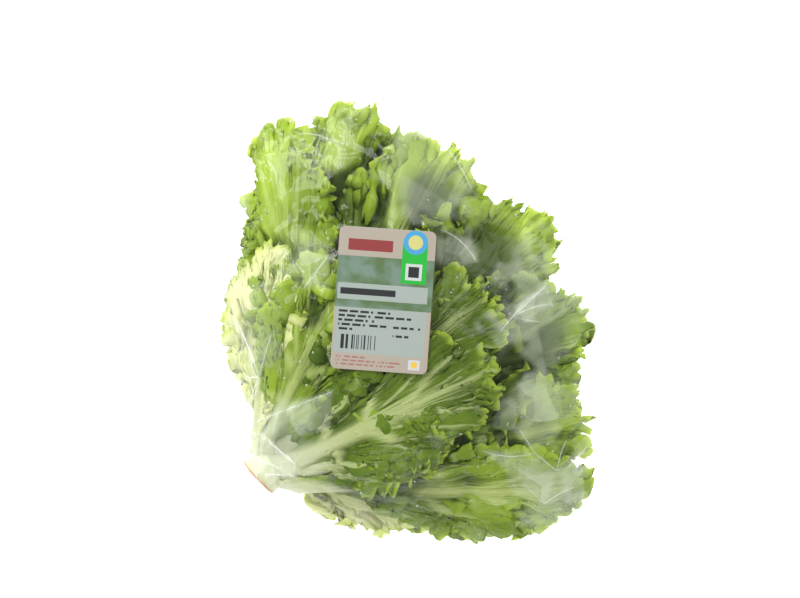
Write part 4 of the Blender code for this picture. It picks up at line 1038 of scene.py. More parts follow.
class Graph:
    """A material's nodes, written as expressions."""

    def __init__(self, name: str) -> None:
        """Starts a material with no nodes."""
        self.material = bpy.data.materials.new(name)
        self.material.use_nodes = True
        self.tree = self.material.node_tree
        self.tree.nodes.clear()

    def add(
        self,
        kind: str,
        settings: dict[str, Any] | None = None,
        sockets: dict[str | int, Any] | None = None,
        out: str | int = 0,
    ) -> Value:
        """Adds any node.

        Args:
            kind: the node's type.
            settings: its properties, set first.
            sockets: values or links by socket name or number.
            out: which output to hand back.
        Returns:
            That output.
        """
        node = self.tree.nodes.new(kind)
        for name, value in (settings or {}).items():
            setattr(node, name, value)
        for name, value in (sockets or {}).items():
            socket = node.inputs[name]
            if isinstance(value, Value):
                self.tree.links.new(value.socket, socket)
            elif socket.type == "RGBA":
                socket.default_value = (*value, 1.0)
            else:
                socket.default_value = value
        return Value(self, node.outputs[out])

    def field(self, name: str) -> Value:
        """A number stored on the mesh."""
        return self.add("ShaderNodeAttribute", {"attribute_name": name}, out="Fac")

    def place(self) -> Value:
        """Where the point is in the part's frame."""
        return self.add("ShaderNodeTexCoord", out="Object")

    def noise(self, scale: float, detail: float) -> Value:
        """Cloudy values about a half, scale of them a metre."""
        sockets = {"Vector": self.place(), "Scale": scale, "Detail": detail}
        return self.add("ShaderNodeTexNoise", None, sockets, out="Fac")

    def cells(self, feature: str, where: Value, scale: float, out: str | int = 0) -> Value:
        """What a pattern of uneven cells says at a place, scale of them a metre."""
        sockets = {"Vector": where, "Scale": scale}
        return self.add("ShaderNodeTexVoronoi", {"feature": feature}, sockets, out)

    def blend(self, factor: Any, a: Any, b: Any) -> Value:
        """Colour a where the factor is nought and b where it is one."""
        return self.add("ShaderNodeMix", {"data_type": "RGBA"}, {0: factor, 6: a, 7: b}, out=2)

    def bump(self, height: Value, distance: float, strength: float) -> Value:
        """A normal from a height."""
        sockets = {"Strength": strength, "Distance": distance, "Height": height}
        return self.add("ShaderNodeBump", None, sockets)

    def surface(self, sockets: dict[str, Any]) -> Value:
        """A Principled shader with these sockets set."""
        return self.add("ShaderNodeBsdfPrincipled", None, sockets)

    def nothing(self) -> Value:
        """A shader that shows what is behind it."""
        return self.add("ShaderNodeBsdfTransparent")

    def mix_shader(self, factor: Any, a: Value, b: Value) -> Value:
        """Shader a where the factor is nought and b where it is one."""
        return self.add("ShaderNodeMixShader", None, {0: factor, 1: a, 2: b})

    def end(self, shader: Value) -> bpy.types.Material:
        """Links the shader to the material's output."""
        node = self.tree.nodes.new("ShaderNodeOutputMaterial")
        self.tree.links.new(shader.socket, node.inputs["Surface"])
        return self.material


@dataclass(frozen=True)
class LeafFinish:
    """Fresh lettuce blade with paler ribs, a bright thin rim that is partly a painted highlight, and
    painted shade where it lies in the head's hollows. Colours are linear.
    """

    name: str
    blade: Colour = (0.35, 0.51, 0.035)
    deep: Colour = (0.205, 0.32, 0.012)
    rib: Colour = (0.72, 0.82, 0.32)
    base: Colour = (0.84, 0.88, 0.66)
    # Rim colour: the margin's paler green, brightened further as a painted highlight along the thin edge.
    rim: Colour = (0.62, 0.80, 0.10)
    glow: Colour = (0.60, 0.76, 0.10)
    # The colour of the painted shade in the hollows, and how far it goes.
    shade: Colour = (0.045, 0.09, 0.006)
    hollow_shade_depth: float = 0.9
    through: float = 0.34
    sheen: float = 0.22

    def material(self) -> bpy.types.Material:
        """Builds the nodes."""
        g = Graph(self.name)
        vein, rim, way = g.field("vein"), g.field("rim"), g.field("way")
        cloud = g.noise(28, 3).eased(0.38, 0.66)
        colour = g.blend(cloud, self.blade, self.deep)
        # The rim is brightened: partly the margin's paler green, partly a painted highlight.
        colour = g.blend(rim * 0.9, colour, self.rim)
        colour = g.blend(vein * 0.85, colour, self.rib)
        white = (1.0 - way.eased(0.0, 0.36)) * 0.85
        colour = g.blend(white, colour, self.base)
        # Painted shade: the blade darkens where it lies deep in a hollow of the head.
        hollow_shade = g.field("hollow_shade")
        colour = g.blend(hollow_shade * self.hollow_shade_depth, colour, self.shade)
        height = g.cells("SMOOTH_F1", g.place(), 170) * -1.0 + g.noise(420, 3) * 0.5
        normal = g.bump(height, 1.1 * MM, 0.7)
        rough = g.noise(60, 2) * 0.25 + 0.28
        outside = g.surface(
            {"Base Color": colour, "Roughness": rough, "Specular IOR Level": self.sheen, "Normal": normal}
        )
        glow = g.blend(vein * 0.6, self.glow, self.rib)
        glow = g.blend(white, glow, self.base)
        # The same painted shade darkens the light let through.
        glow = g.blend(hollow_shade * self.hollow_shade_depth, glow, self.shade)
        inside = g.add("ShaderNodeBsdfTranslucent", None, {"Color": glow, "Normal": normal})
        return g.end(g.mix_shader(rim * 0.2 + self.through, outside, inside))


LEAF_FINISHES = {
    Tone.FRESH: LeafFinish("lettuce_fresh"),
    # Painted light: a near-white copy of the green for outer leaves, as if lit through from the table
    # below.
    Tone.PAINTED_LIT: LeafFinish(
        "lettuce_pale",
        blade=(0.92, 0.96, 0.52),
        deep=(0.82, 0.90, 0.38),
        glow=(0.97, 0.99, 0.6),
        hollow_shade_depth=0.1,
        through=0.4,
    ),
    Tone.DEEP: LeafFinish(
        "lettuce_deep",
        blade=(0.175, 0.285, 0.018),
        deep=(0.085, 0.15, 0.006),
        rib=(0.76, 0.85, 0.38),
        glow=(0.46, 0.66, 0.05),
    ),
    # Heart leaves: a darker copy of the fresh finish, painted shade for leaves deep in the head.
    Tone.HEART: LeafFinish(
        "lettuce_heart",
        blade=(0.17, 0.27, 0.03),
        deep=(0.09, 0.16, 0.01),
        glow=(0.40, 0.58, 0.04),
    ),
}


@dataclass(frozen=True)
class FilmFinish:
    """Clear film: it shows what is under it, glints, and is milky where it is misted; it is whiter along
    its creases, a painted highlight, and where it lies double, partly a painted reflection.
    """

    name: str = "clear_film"
    body: Colour = (0.86, 0.92, 0.74)
    mist: float = 0.24
    glint: float = 0.5
    most_shine: float = 0.2
    most_milk: float = 0.9

    def material(self) -> bpy.types.Material:
        """Builds the nodes."""
        g = Graph(self.name)
        mist, crease = g.field("mist"), g.field("crease")
        each = g.cells("F1", self.warped(g), 30, out="Color")
        milk = mist * (each * 0.8 + 0.4) * self.mist
        # Painted highlight along the creases, and whiter film where it lies double, partly a painted
        # reflection.
        milk = milk + g.field("double_and_reflection") * (each * 0.9 + 0.3) + crease * 0.25
        facets = self.facets(g, 26) + self.facets(g, 70) * 0.35
        normal = g.bump(facets + g.noise(120, 2) * 0.08, 5.0 * MM, 0.8)
        edge = g.add("ShaderNodeFresnel", None, {"IOR": 1.42, "Normal": normal})
        veil = g.surface({"Base Color": self.body, "Roughness": 0.3, "Normal": normal})
        shine = g.surface({"Base Color": WHITE, "Metallic": 1.0, "Roughness": 0.07, "Normal": normal})
        shown = (edge * self.glint).maths("MINIMUM", self.most_shine)
        clear = g.mix_shader(shown, g.nothing(), shine)
        return g.end(g.mix_shader(milk.maths("MINIMUM", self.most_milk), clear, veil))

    @staticmethod
    def facets(g: Graph, scale: float) -> Value:
        """Flat faces with sharp lines between them, as in creased film."""
        return g.cells("DISTANCE_TO_EDGE", FilmFinish.warped(g), scale)

    @staticmethod
    def warped(g: Graph) -> Value:
        """Places pushed about a little, so that the faces are uneven."""
        push = g.add("ShaderNodeTexNoise", None, {"Vector": g.place(), "Scale": 14.0}, out="Color")
        settings = {"data_type": "RGBA", "blend_type": "ADD"}
        return g.add("ShaderNodeMix", settings, {0: 0.03, 6: g.place(), 7: push}, out=2)


@dataclass(frozen=True)
class FoldFinish:
    """The sharp edge of a fold in the film: thin and glossy, white partly as the doubled film's edge and
    partly as a painted highlight where the fold catches the light.
    """

    name: str = "film_fold"
    # White body: partly a painted highlight along the fold.
    body: Colour = (0.93, 0.96, 0.92)
    solid: float = 0.45
    uneven: float = 0.5

    def material(self) -> bpy.types.Material:
        """Builds the nodes."""
        g = Graph(self.name)
        rough = g.noise(300, 2) * 0.2 + 0.1
        edge = g.surface({"Base Color": self.body, "Roughness": rough})
        shown = g.noise(90, 2).eased(0.3, 0.6) * self.uneven + (self.solid - self.uneven / 2)
        return g.end(g.mix_shader(shown, g.nothing(), edge))


@dataclass(frozen=True)
class DropFinish:
    """Water drops: clear with a bright glint."""

    name: str = "water_drops"

    def material(self) -> bpy.types.Material:
        """Builds the nodes."""
        g = Graph(self.name)
        shine = g.surface({"Base Color": WHITE, "Metallic": 1.0, "Roughness": 0.03})
        edge = g.add("ShaderNodeFresnel", None, {"IOR": 1.6})
        return g.end(g.mix_shader(edge * 0.9 + 0.06, g.nothing(), shine))


@dataclass(frozen=True)
class StemFinish:
    """Pale stem, browned at its cut end."""

    name: str = "cut_stem"
    body: Colour = (0.74, 0.78, 0.56)
    cut: Colour = (0.50, 0.24, 0.11)
    ring: Colour = (0.62, 0.40, 0.24)
    streak: Colour = (0.62, 0.68, 0.40)

    def material(self) -> bpy.types.Material:
        """Builds the nodes."""
        g = Graph(self.name)
        cut, out = g.field("cut"), g.field("out")
        blotch = g.noise(180, 4).eased(0.35, 0.65)
        brown = g.blend(blotch, self.cut, self.ring)
        brown = g.blend((1.0 - out).eased(0.25, 0.7), brown, self.body)
        streak = g.noise(90, 3)
        body = g.blend(streak.eased(0.4, 0.7), self.body, self.streak)
        colour = g.blend(cut, body, brown)
        normal = g.bump(g.noise(500, 3), 0.5 * MM, 0.6)
        rough = streak * 0.3 + 0.35
        return g.end(g.surface({"Base Color": colour, "Roughness": rough, "Normal": normal}))


class Ink(Enum):
    """The label's colours. They are linear."""

    PAPER = (0.34, 0.30, 0.245)
    PANEL = (0.29, 0.335, 0.305)
    PICTURE = (0.076, 0.134, 0.05)
    PICTURE_LIGHT = (0.14, 0.21, 0.16)
    HEADING = (0.22, 0.03, 0.03)
    TAG = (0.01, 0.36, 0.03)
    SKY = (0.05, 0.28, 0.50)
    SAND = (0.50, 0.48, 0.16)
    WINDOW = (0.46, 0.50, 0.48)
    CORNER = (0.46, 0.50, 0.52)
    SUN = (0.65, 0.42, 0.05)
    SMALL = (0.30, 0.13, 0.12)
    BLACK = (0.012, 0.014, 0.016)


class Print:
    """Plain print over a label, which spells nothing. Places are in shares of its size."""

    SEED_STEP = 37.0

    def __init__(self, g: Graph, across: Value, down: Value, shape: float) -> None:
        """Starts with bare paper.

        Args:
            g: the label's material.
            across, down: where on the label, 0 to 1.
            shape: its height over its width.
        """
        self.g, self.across, self.down, self.shape = g, across, down, shape
        self.colour: Any = Ink.PAPER.value

    def box(self, left: float, top: float, right: float, bottom: float) -> Value:
        """One inside a rectangle, else nought."""
        wide = (self.across > left) * (self.across < right)
        return wide * ((self.down > top) * (self.down < bottom))

    def disc(self, across: float, down: float, radius: float) -> Value:
        """One inside a circle, else nought."""
        x, y = self.across - across, (self.down - down) * self.shape
        return (x * x + y * y) < radius * radius

    def some(self, step: float, seed: float, gaps: float) -> Value:
        """One or nought for each step across, by chance, with this share of noughts."""
        number = (self.across / step + seed * self.SEED_STEP).maths("FLOOR")
        chance = self.g.add("ShaderNodeTexWhiteNoise", {"noise_dimensions": "1D"}, {"W": number})
        return chance > gaps

    def lay(self, mask: Value, colour: Any) -> None:
        """Prints a colour where the mask is one."""
        self.colour = self.g.blend(mask, self.colour, colour)


@dataclass(frozen=True)
class LabelFinish:
    """A printed paper label under a thin gloss, with its height over its width."""

    name: str = "label_print"
    shape: float = 90 / 61

    PICTURE = (0, 0.205, 1, 0.565)
    BLOCKS = (
        (Ink.PANEL, (0.02, 0.395, 0.95, 0.51)),
        (Ink.PANEL, (0.02, 0.565, 0.95, 0.885)),
        (Ink.HEADING, (0.10, 0.085, 0.56, 0.165)),
        (Ink.BLACK, (0.05, 0.43, 0.62, 0.475)),
        (Ink.TAG, (0.66, 0.09, 0.92, 0.375)),
        (Ink.WINDOW, (0.705, 0.235, 0.875, 0.35)),
        (Ink.BLACK, (0.735, 0.255, 0.845, 0.33)),
        (Ink.CORNER, (0.80, 0.905, 0.92, 0.975)),
    )
    DISCS = (
        (Ink.SKY, (0.79, 0.085, 0.125)),
        (Ink.SAND, (0.79, 0.085, 0.075)),
        (Ink.SUN, (0.86, 0.94, 0.035)),
    )
    ROWS = (
        (Ink.BLACK, 0.05, 0.585, 0.58),
        (Ink.BLACK, 0.05, 0.616, 0.80),
        (Ink.BLACK, 0.05, 0.647, 0.42),
        (Ink.BLACK, 0.05, 0.678, 0.55),
        (Ink.BLACK, 0.05, 0.709, 0.20),
        (Ink.BLACK, 0.62, 0.68, 0.90),
        (Ink.BLACK, 0.62, 0.74, 0.80),
        (Ink.SMALL, 0.05, 0.905, 0.35),
        (Ink.SMALL, 0.05, 0.931, 0.72),
        (Ink.SMALL, 0.05, 0.957, 0.66),
    )
    ROW_SIZES = {Ink.BLACK: (0.016, 0.022), Ink.SMALL: (0.012, 0.016)}
    ROW_GAPS = 0.22
    BARS = (0.07, 0.755, 0.45, 0.855)
    BAR_STEP, BAR_SEED, BAR_GAPS = 0.0085, 0.5, 0.45

    def material(self) -> bpy.types.Material:
        """Builds the nodes."""
        g = Graph(self.name)
        across = g.add("ShaderNodeSeparateXYZ", None, {0: g.add("ShaderNodeUVMap", {"uv_map": "print"})})
        page = Print(g, across, Value(g, across.socket.node.outputs["Y"]), self.shape)
        soft = g.noise(75, 2).eased(0.35, 0.65)
        page.lay(page.box(*self.PICTURE), g.blend(soft, Ink.PICTURE.value, Ink.PICTURE_LIGHT.value))
        for ink, place in self.BLOCKS:
            page.lay(page.box(*place), ink.value)
        for ink, place in self.DISCS:
            page.lay(page.disc(*place), ink.value)
        for ink, left, top, right in self.ROWS:
            height, step = self.ROW_SIZES[ink]
            mask = page.box(left, top, right, top + height) * page.some(step, top, self.ROW_GAPS)
            page.lay(mask, ink.value)
        bars = page.some(self.BAR_STEP, self.BAR_SEED, self.BAR_GAPS)
        page.lay(page.box(*self.BARS) * bars, Ink.BLACK.value)
        normal = g.bump(g.noise(40, 2), 0.5 * MM, 0.3)
        rough = g.noise(60, 2) * 0.2 + 0.26
        return g.end(g.surface({"Base Color": page.colour, "Roughness": rough, "Normal": normal}))


@dataclass
class Label:
    """The label, lying flat on the film under the plan point of its middle."""

    middle: tuple[float, float] = (384.0, 300.0)
    width: float = 61 * MM
    height: float = 90 * MM
    corner: float = 4 * MM
    turn: float = math.radians(-4.1)
    margin: float = 5 * MM
    inset: float = 0.25 * MM
    corner_steps: int = 8
    finish: LabelFinish = LabelFinish()

    @property
    def centre(self) -> np.ndarray:
        """Metres from the butt."""
        return plan_point(*self.middle)

    @property
    def axes(self) -> np.ndarray:
        """Unit directions along its width and its height."""
        c, s = math.cos(self.turn), math.sin(self.turn)
        return np.array([[c, s], [-s, c]])

    def own(self, plan: np.ndarray) -> np.ndarray:
        """Plan points as distances along the label's width and height."""
        return (plan - self.centre) @ self.axes.T

    def covers(self, plan: np.ndarray) -> np.ndarray:
        """Whether each plan point is on the label or just beside it."""
        off = np.abs(self.own(plan))
        return (off[..., 0] < self.width / 2 + self.margin) & (off[..., 1] < self.height / 2 + self.margin)

    def ring(self, inset: float) -> np.ndarray:
        """Its rounded outline, drawn in by an inset."""
        half = np.array([self.width, self.height]) / 2 - self.corner
        points = []
        for k, sign in enumerate(((1, 1), (-1, 1), (-1, -1), (1, -1))):
            for step in range(self.corner_steps + 1):
                turn = math.radians(90 * (k + step / self.corner_steps))
                reach = (self.corner - inset) * np.array([math.cos(turn), math.sin(turn)])
                points.append(half * np.array(sign) + reach)
        return np.array(points)

    def build(self, shift: np.ndarray) -> bpy.types.Object:
        """Makes the label in the place of its node.

        Args:
            shift: from the butt to the part's frame.
        Returns:
            The object.
        """
        low, high = (corner[2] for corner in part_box("label"))
        outer, inner = self.ring(0.0), self.ring(self.inset)
        count = len(outer)
        levels = ((inner, low), (outer, low + self.inset), (outer, high - self.inset), (inner, high))
        own = np.concatenate([ring for ring, _ in levels])
        plan = self.centre + own @ self.axes
        z = np.repeat([z for _, z in levels], count)
        faces = [tuple(range(count))[::-1], tuple(range(3 * count, 4 * count))]
        for level in range(3):
            for k in range(count):
                a, b = level * count + k, level * count + (k + 1) % count
                faces.append((a, b, b + count, a + count))
        made = bare_object("printed_label", np.column_stack([plan + shift[:2], z]), [], faces)
        print_map = made.data.uv_layers.new(name="print")
        for loop in made.data.loops:
            x, y = own[loop.vertex_index]
            print_map.data[loop.index].uv = (0.5 + x / self.width, 0.5 - y / self.height)
        made.data.materials.append(self.finish.material())
        return made


class GrowTree:
    """A Geometry Nodes tree built in code, with named inputs."""

    def __init__(self, name: str) -> None:
        """Starts a tree that takes geometry and hands it on."""
        self.tree = bpy.data.node_groups.new(name, "GeometryNodeTree")
        self.tree.interface.new_socket("Geometry", in_out="OUTPUT", socket_type="NodeSocketGeometry")
        self.ids: dict[str, str] = {}
        self.inside = self.tree.nodes.new("NodeGroupInput")
        self.input("Geometry", "NodeSocketGeometry")

    def input(self, name: str, kind: str) -> None:
        """Adds a named input."""
        self.ids[name] = self.tree.interface.new_socket(name, in_out="INPUT", socket_type=kind).identifier

    def add(
        self,
        kind: str,
        settings: dict[str, Any] | None = None,
        sockets: dict[str | int, Any] | None = None,
    ) -> bpy.types.Node:
        """Adds any node, its settings first, then values or links by socket name or number."""
        node = self.tree.nodes.new(kind)
        for name, value in (settings or {}).items():
            setattr(node, name, value)
        for name, value in (sockets or {}).items():
            if isinstance(value, bpy.types.NodeSocket):
                self.tree.links.new(value, node.inputs[name])
            else:
                node.inputs[name].default_value = value
        return node

    def given(self, name: str) -> bpy.types.NodeSocket:
        """A named input's value inside the tree."""
        return self.inside.outputs[name]

    def stored(self, name: str, kind: str = "FLOAT") -> bpy.types.NodeSocket:
        """A field stored on the points."""
        return self.add("GeometryNodeInputNamedAttribute", {"data_type": kind}, {"Name": name}).outputs[0]

    def end(self, geometry: bpy.types.NodeSocket) -> None:
        """Realizes what was made, gives it its material and ends the tree."""
        real = self.add("GeometryNodeRealizeInstances", None, {"Geometry": geometry})
        smooth = self.add("GeometryNodeSetShadeSmooth", None, {"Geometry": real.outputs[0]})
        sockets = {"Geometry": smooth.outputs[0], "Material": self.given("Finish")}
        dressed = self.add("GeometryNodeSetMaterial", None, sockets)
        self.add("NodeGroupOutput", None, {"Geometry": dressed.outputs[0]})

    def grow(self, thing: bpy.types.Object, values: dict[str, Any]) -> None:
        """Runs the tree on an object and keeps the result as its plain mesh.

        Args:
            thing: the object whose points or lines the tree starts from.
            values: the named inputs' values.
        """
        step = thing.modifiers.new("grow", "NODES")
        step.node_group = self.tree
        for name, value in values.items():
            step[self.ids[name]] = value
        graph = bpy.context.evaluated_depsgraph_get()
        mesh = bpy.data.meshes.new_from_object(thing.evaluated_get(graph))
        thing.modifiers.clear()
        thing.data = mesh


def tube_tree() -> GrowTree:
    """Round tubes along a mesh's lines, as thick as the lines say."""
    grow = GrowTree("tubes_along_lines")
    grow.input("Sides", "NodeSocketInt")
    grow.input("Finish", "NodeSocketMaterial")
    lines = grow.add("GeometryNodeMeshToCurve", None, {"Mesh": grow.given("Geometry")})
    sides = {"Resolution": grow.given("Sides"), "Radius": 1.0}
    ring = grow.add("GeometryNodeCurvePrimitiveCircle", None, sides)
    sockets = {
        "Curve": lines.outputs[0],
        "Profile Curve": ring.outputs[0],
        "Scale": grow.stored("thick"),
        "Fill Caps": True,
    }
    grow.end(grow.add("GeometryNodeCurveToMesh", None, sockets).outputs[0])
    return grow


def drop_tree() -> GrowTree:
    """A flattened drop on each point, as large and as turned as the point says."""
    grow = GrowTree("drops_on_points")
    grow.input("Flatness", "NodeSocketFloat")
    grow.input("Finish", "NodeSocketMaterial")
    ball = grow.add("GeometryNodeMeshIcoSphere", None, {"Radius": 1.0, "Subdivisions": 2})
    lean = grow.stored("lean", "FLOAT_VECTOR")
    turn = grow.add("FunctionNodeAlignRotationToVector", {"axis": "Z"}, {"Vector": lean})
    size = grow.stored("size")
    low = grow.add("ShaderNodeMath", {"operation": "MULTIPLY"}, {0: size, 1: grow.given("Flatness")})
    scale = grow.add("ShaderNodeCombineXYZ", None, {"X": size, "Y": size, "Z": low.outputs[0]})
    sockets = {
        "Points": grow.given("Geometry"),
        "Instance": ball.outputs[0],
        "Rotation": turn.outputs[0],
        "Scale": scale.outputs[0],
    }
    grow.end(grow.add("GeometryNodeInstanceOnPoints", None, sockets).outputs[0])
    return grow


@dataclass(frozen=True)
class Mist:
    """A patch of misted film: its middle and radii on the plan grid, and how milky it is."""

    middle: tuple[float, float]
    radii: tuple[float, float]
    amount: float


@dataclass(frozen=True)
class Patch:
    """Whiter film where it lies double, partly a painted reflection off its folds: its corners, clockwise
    on the plan grid, and how white it is.
    """

    corners: tuple[tuple[float, float], ...]
    amount: float

    def cover(self, plan: np.ndarray, soft: float) -> np.ndarray:
        """How much of it is over plan points, 0 to 1."""
        ring = np.array([plan_point(*corner) for corner in self.corners])
        inside = np.full(plan.shape[:-1], np.inf)
        for a, b in zip(ring, np.roll(ring, -1, axis=0)):
            inward = unit(np.array([b[1] - a[1], a[0] - b[0]]))
            inside = np.minimum(inside, (plan - a) @ inward)
        return self.amount * ease(-soft, soft, inside)


@dataclass(frozen=True)
class Crease:
    """A sharp fold in the film between two plan points, with its height in mm."""

    start: tuple[float, float]
    end: tuple[float, float]
    height: float = 1.2
    bow: float = 0.0

    def path(self, count: int) -> np.ndarray:
        """Plan points along it."""
        a, b = plan_point(*self.start), plan_point(*self.end)
        u = np.linspace(0, 1, count)[:, None]
        side = np.array([a[1] - b[1], b[0] - a[0]])
        return a + (b - a) * u + side * self.bow * 4 * u * (1 - u)


class Sleeve:
    """Clear film stretched over the pile from above and below, shut at the butt and open past the tips."""

    AROUND = 264
    TOP_RINGS = 72
    WALL_ROWS = 12
    LOW_RINGS = 30
    MOUTH = (math.radians(-42), math.radians(112))
    PLEAT = 1.5 * MM
    PATCH_SOFT = 1.2 * MM
    RIM_SHARE = 0.975
    RIM_UNEVEN = 1.2 * MM
    CREASE_WIDTH = 1.6 * MM
    CREASE_CORE = 0.9 * MM
    UPPER_SIDE = 24 * MM
    MIST_STARTS = (12 * MM, 30 * MM)
    BELOW_LABEL_TOP = 0.35 * MM
    FOLD_THICK = (0.06 * MM, 0.17 * MM)
    FOLD_SIDES = 6
    DROPS, DROP_TRIES, DROP_SEED, DROP_FLATNESS = 900, 40, 8, 0.45
    MISTS = (
        Mist((312, 150), (40, 34), 0.1),
        Mist((352, 118), (34, 22), 0.2),
        Mist((425, 175), (46, 52), 0.45),
        Mist((318, 262), (24, 24), 0.5),
        Mist((540, 312), (50, 58), 0.8),
        Mist((450, 252), (30, 16), 0.5),
        Mist((548, 404), (44, 40), 0.9),
        Mist((552, 498), (44, 34), 1.0),
        Mist((262, 330), (26, 60), 0.6),
        Mist((285, 430), (34, 30), 0.6),
    )
    WET = (
        Mist((374, 119), (24, 13), 1.0),
        Mist((263, 190), (9, 34), 1.0),
        Mist((318, 140), (46, 26), 0.35),
        Mist((586, 440), (9, 44), 0.4),
        Mist((300, 470), (40, 16), 0.25),
    )
    # Patches of whiter film, partly a painted reflection off folds and facets.
    PATCHES = (
        Patch(((246, 441), (262, 431), (297, 463), (298, 477), (262, 475)), 0.5),
        Patch(((248, 418), (334, 389), (332, 426), (300, 434), (240, 436)), 0.16),
        Patch(((262, 378), (272, 400), (262, 432), (240, 440), (232, 428)), 0.14),
        Patch(((508, 306), (545, 284), (552, 306), (524, 322)), 0.14),
        Patch(((515, 380), (560, 385), (556, 448), (520, 434)), 0.10),
        Patch(((484, 448), (532, 450), (556, 474), (548, 505), (516, 482)), 0.16),
        Patch(((560, 466), (590, 436), (592, 500), (566, 506)), 0.14),
        Patch(((432, 240), (468, 238), (476, 262), (440, 268)), 0.10),
        Patch(((283, 134), (328, 128), (362, 150), (338, 178), (298, 172)), 0.06),
        Patch(((396, 130), (438, 142), (468, 190), (438, 230), (402, 224)), 0.07),
        Patch(((300, 250), (330, 258), (332, 290), (306, 288)), 0.14),
        Patch(((500, 396), (516, 400), (512, 430), (490, 424)), 0.12),
    )
    CREASES = (
        Crease((236, 316), (261, 376), 1.8, 0.02),
        Crease((247, 377), (262, 376), 1.4),
        Crease((261, 377), (247, 412), 1.3, -0.03),
        Crease((247, 412), (232, 428), 1.2),
        Crease((262, 378), (236, 426), 0.8, 0.05),
        Crease((261, 376), (274, 332), 0.6),
        Crease((232, 428), (240, 446), 1.4),
        Crease((240, 446), (258, 480), 1.5, 0.10),
        Crease((240, 428), (334, 389), 1.1),
        Crease((233, 430), (262, 434), 1.3),
        Crease((262, 432), (297, 463), 1.8),
        Crease((262, 434), (262, 452), 1.2),
        Crease((252, 456), (296, 476), 1.3, 0.04),
        Crease((264, 474), (298, 476), 1.5, 0.05),
        Crease((282, 452), (296, 468), 1.0, 0.2),
        Crease((509, 317), (545, 285), 1.1),
        Crease((509, 317), (536, 292), 0.8, 0.05),
        Crease((509, 317), (550, 304), 0.9, 0.06),
        Crease((509, 317), (540, 322), 0.7),
        Crease((509, 317), (498, 330), 0.7),
        Crease((534, 452), (518, 428), 0.6),
        Crease((534, 452), (482, 449), 0.5, 0.08),
        Crease((534, 452), (557, 471), 0.8),
        Crease((545, 505), (578, 488), 0.7, 0.05),
        Crease((545, 505), (524, 484), 0.5),
        Crease((557, 471), (566, 440), 0.5, 0.05),
        Crease((566, 470), (590, 446), 0.9),
        Crease((268, 160), (278, 186), 0.8, 0.1),
        Crease((300, 135), (340, 148), 0.6, 0.1),
        Crease((438, 142), (470, 190), 0.6, 0.05),
        Crease((306, 289), (330, 258), 0.7),
        Crease((440, 232), (474, 262), 0.6, 0.1),
    )

    def __init__(self, room: FilmRoom, label: Label) -> None:
        """Takes the film's room and the label that holds it flat."""
        self.label = label
        self.label_top = float(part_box("label")[0][2]) - self.BELOW_LABEL_TOP
        self.edge, self.height, self.shift = room.edge, room.height, room.shift
        self.top, self.bottom = room.top, room.bottom

    def mist_at(self, plan: np.ndarray, spots: tuple[Mist, ...] = MISTS) -> np.ndarray:
        """How milky the film is at plan points, 0 to 1."""
        out = np.zeros(plan.shape[:-1])
        x, y = plan[..., 0], plan[..., 1]
        wobble = ripple(x, y, 5, 34 * MM) * 0.25 + ripple(x, y, 6, 12 * MM) * 0.2
        for mist in spots:
            off = (plan - plan_point(*mist.middle)) / (np.array(mist.radii) * PLAN_SCALE)
            out = np.maximum(out, mist.amount * ease(1.25, 0.55, np.linalg.norm(off, axis=-1) + wobble))
        return out

    def double_and_reflection_at(self, plan: np.ndarray) -> np.ndarray:
        """How white the film is where it lies double, partly a painted reflection, 0 to 1."""
        return np.max([patch.cover(plan, self.PATCH_SOFT) for patch in self.PATCHES], axis=0)

    def crease_at(self, plan: np.ndarray, width: float) -> np.ndarray:
        """Height of the folds at plan points, in metres."""
        out = np.zeros(plan.shape[:-1])
        for crease in self.CREASES:
            path = crease.path(9)
            for a, b in zip(path, path[1:]):
                way = b - a
                u = (((plan - a) @ way) / (way @ way)).clip(0, 1)
                off = np.linalg.norm(plan - a - u[..., None] * way, axis=-1)
                out = np.maximum(out, crease.height * MM * np.exp(-off / width))
        return out

    def pleat_at(self, plan: np.ndarray) -> np.ndarray:
        """Gathers that run out from the butt and shallow long folds."""
        turn = np.arctan2(plan[..., 1], plan[..., 0])
        away = np.linalg.norm(plan, axis=-1)
        gather = np.sin(26 * turn + 2 * np.sin(5 * turn)) * np.exp(-away / (70 * MM))
        gather = gather * ease(6 * MM, 30 * MM, away)
        long = np.sin(17 * turn + 3 * np.sin(4 * turn) + away / (60 * MM)) * 0.25
        long = long * ease(40 * MM, 90 * MM, away)
        return self.PLEAT * (gather + long - 0.6)

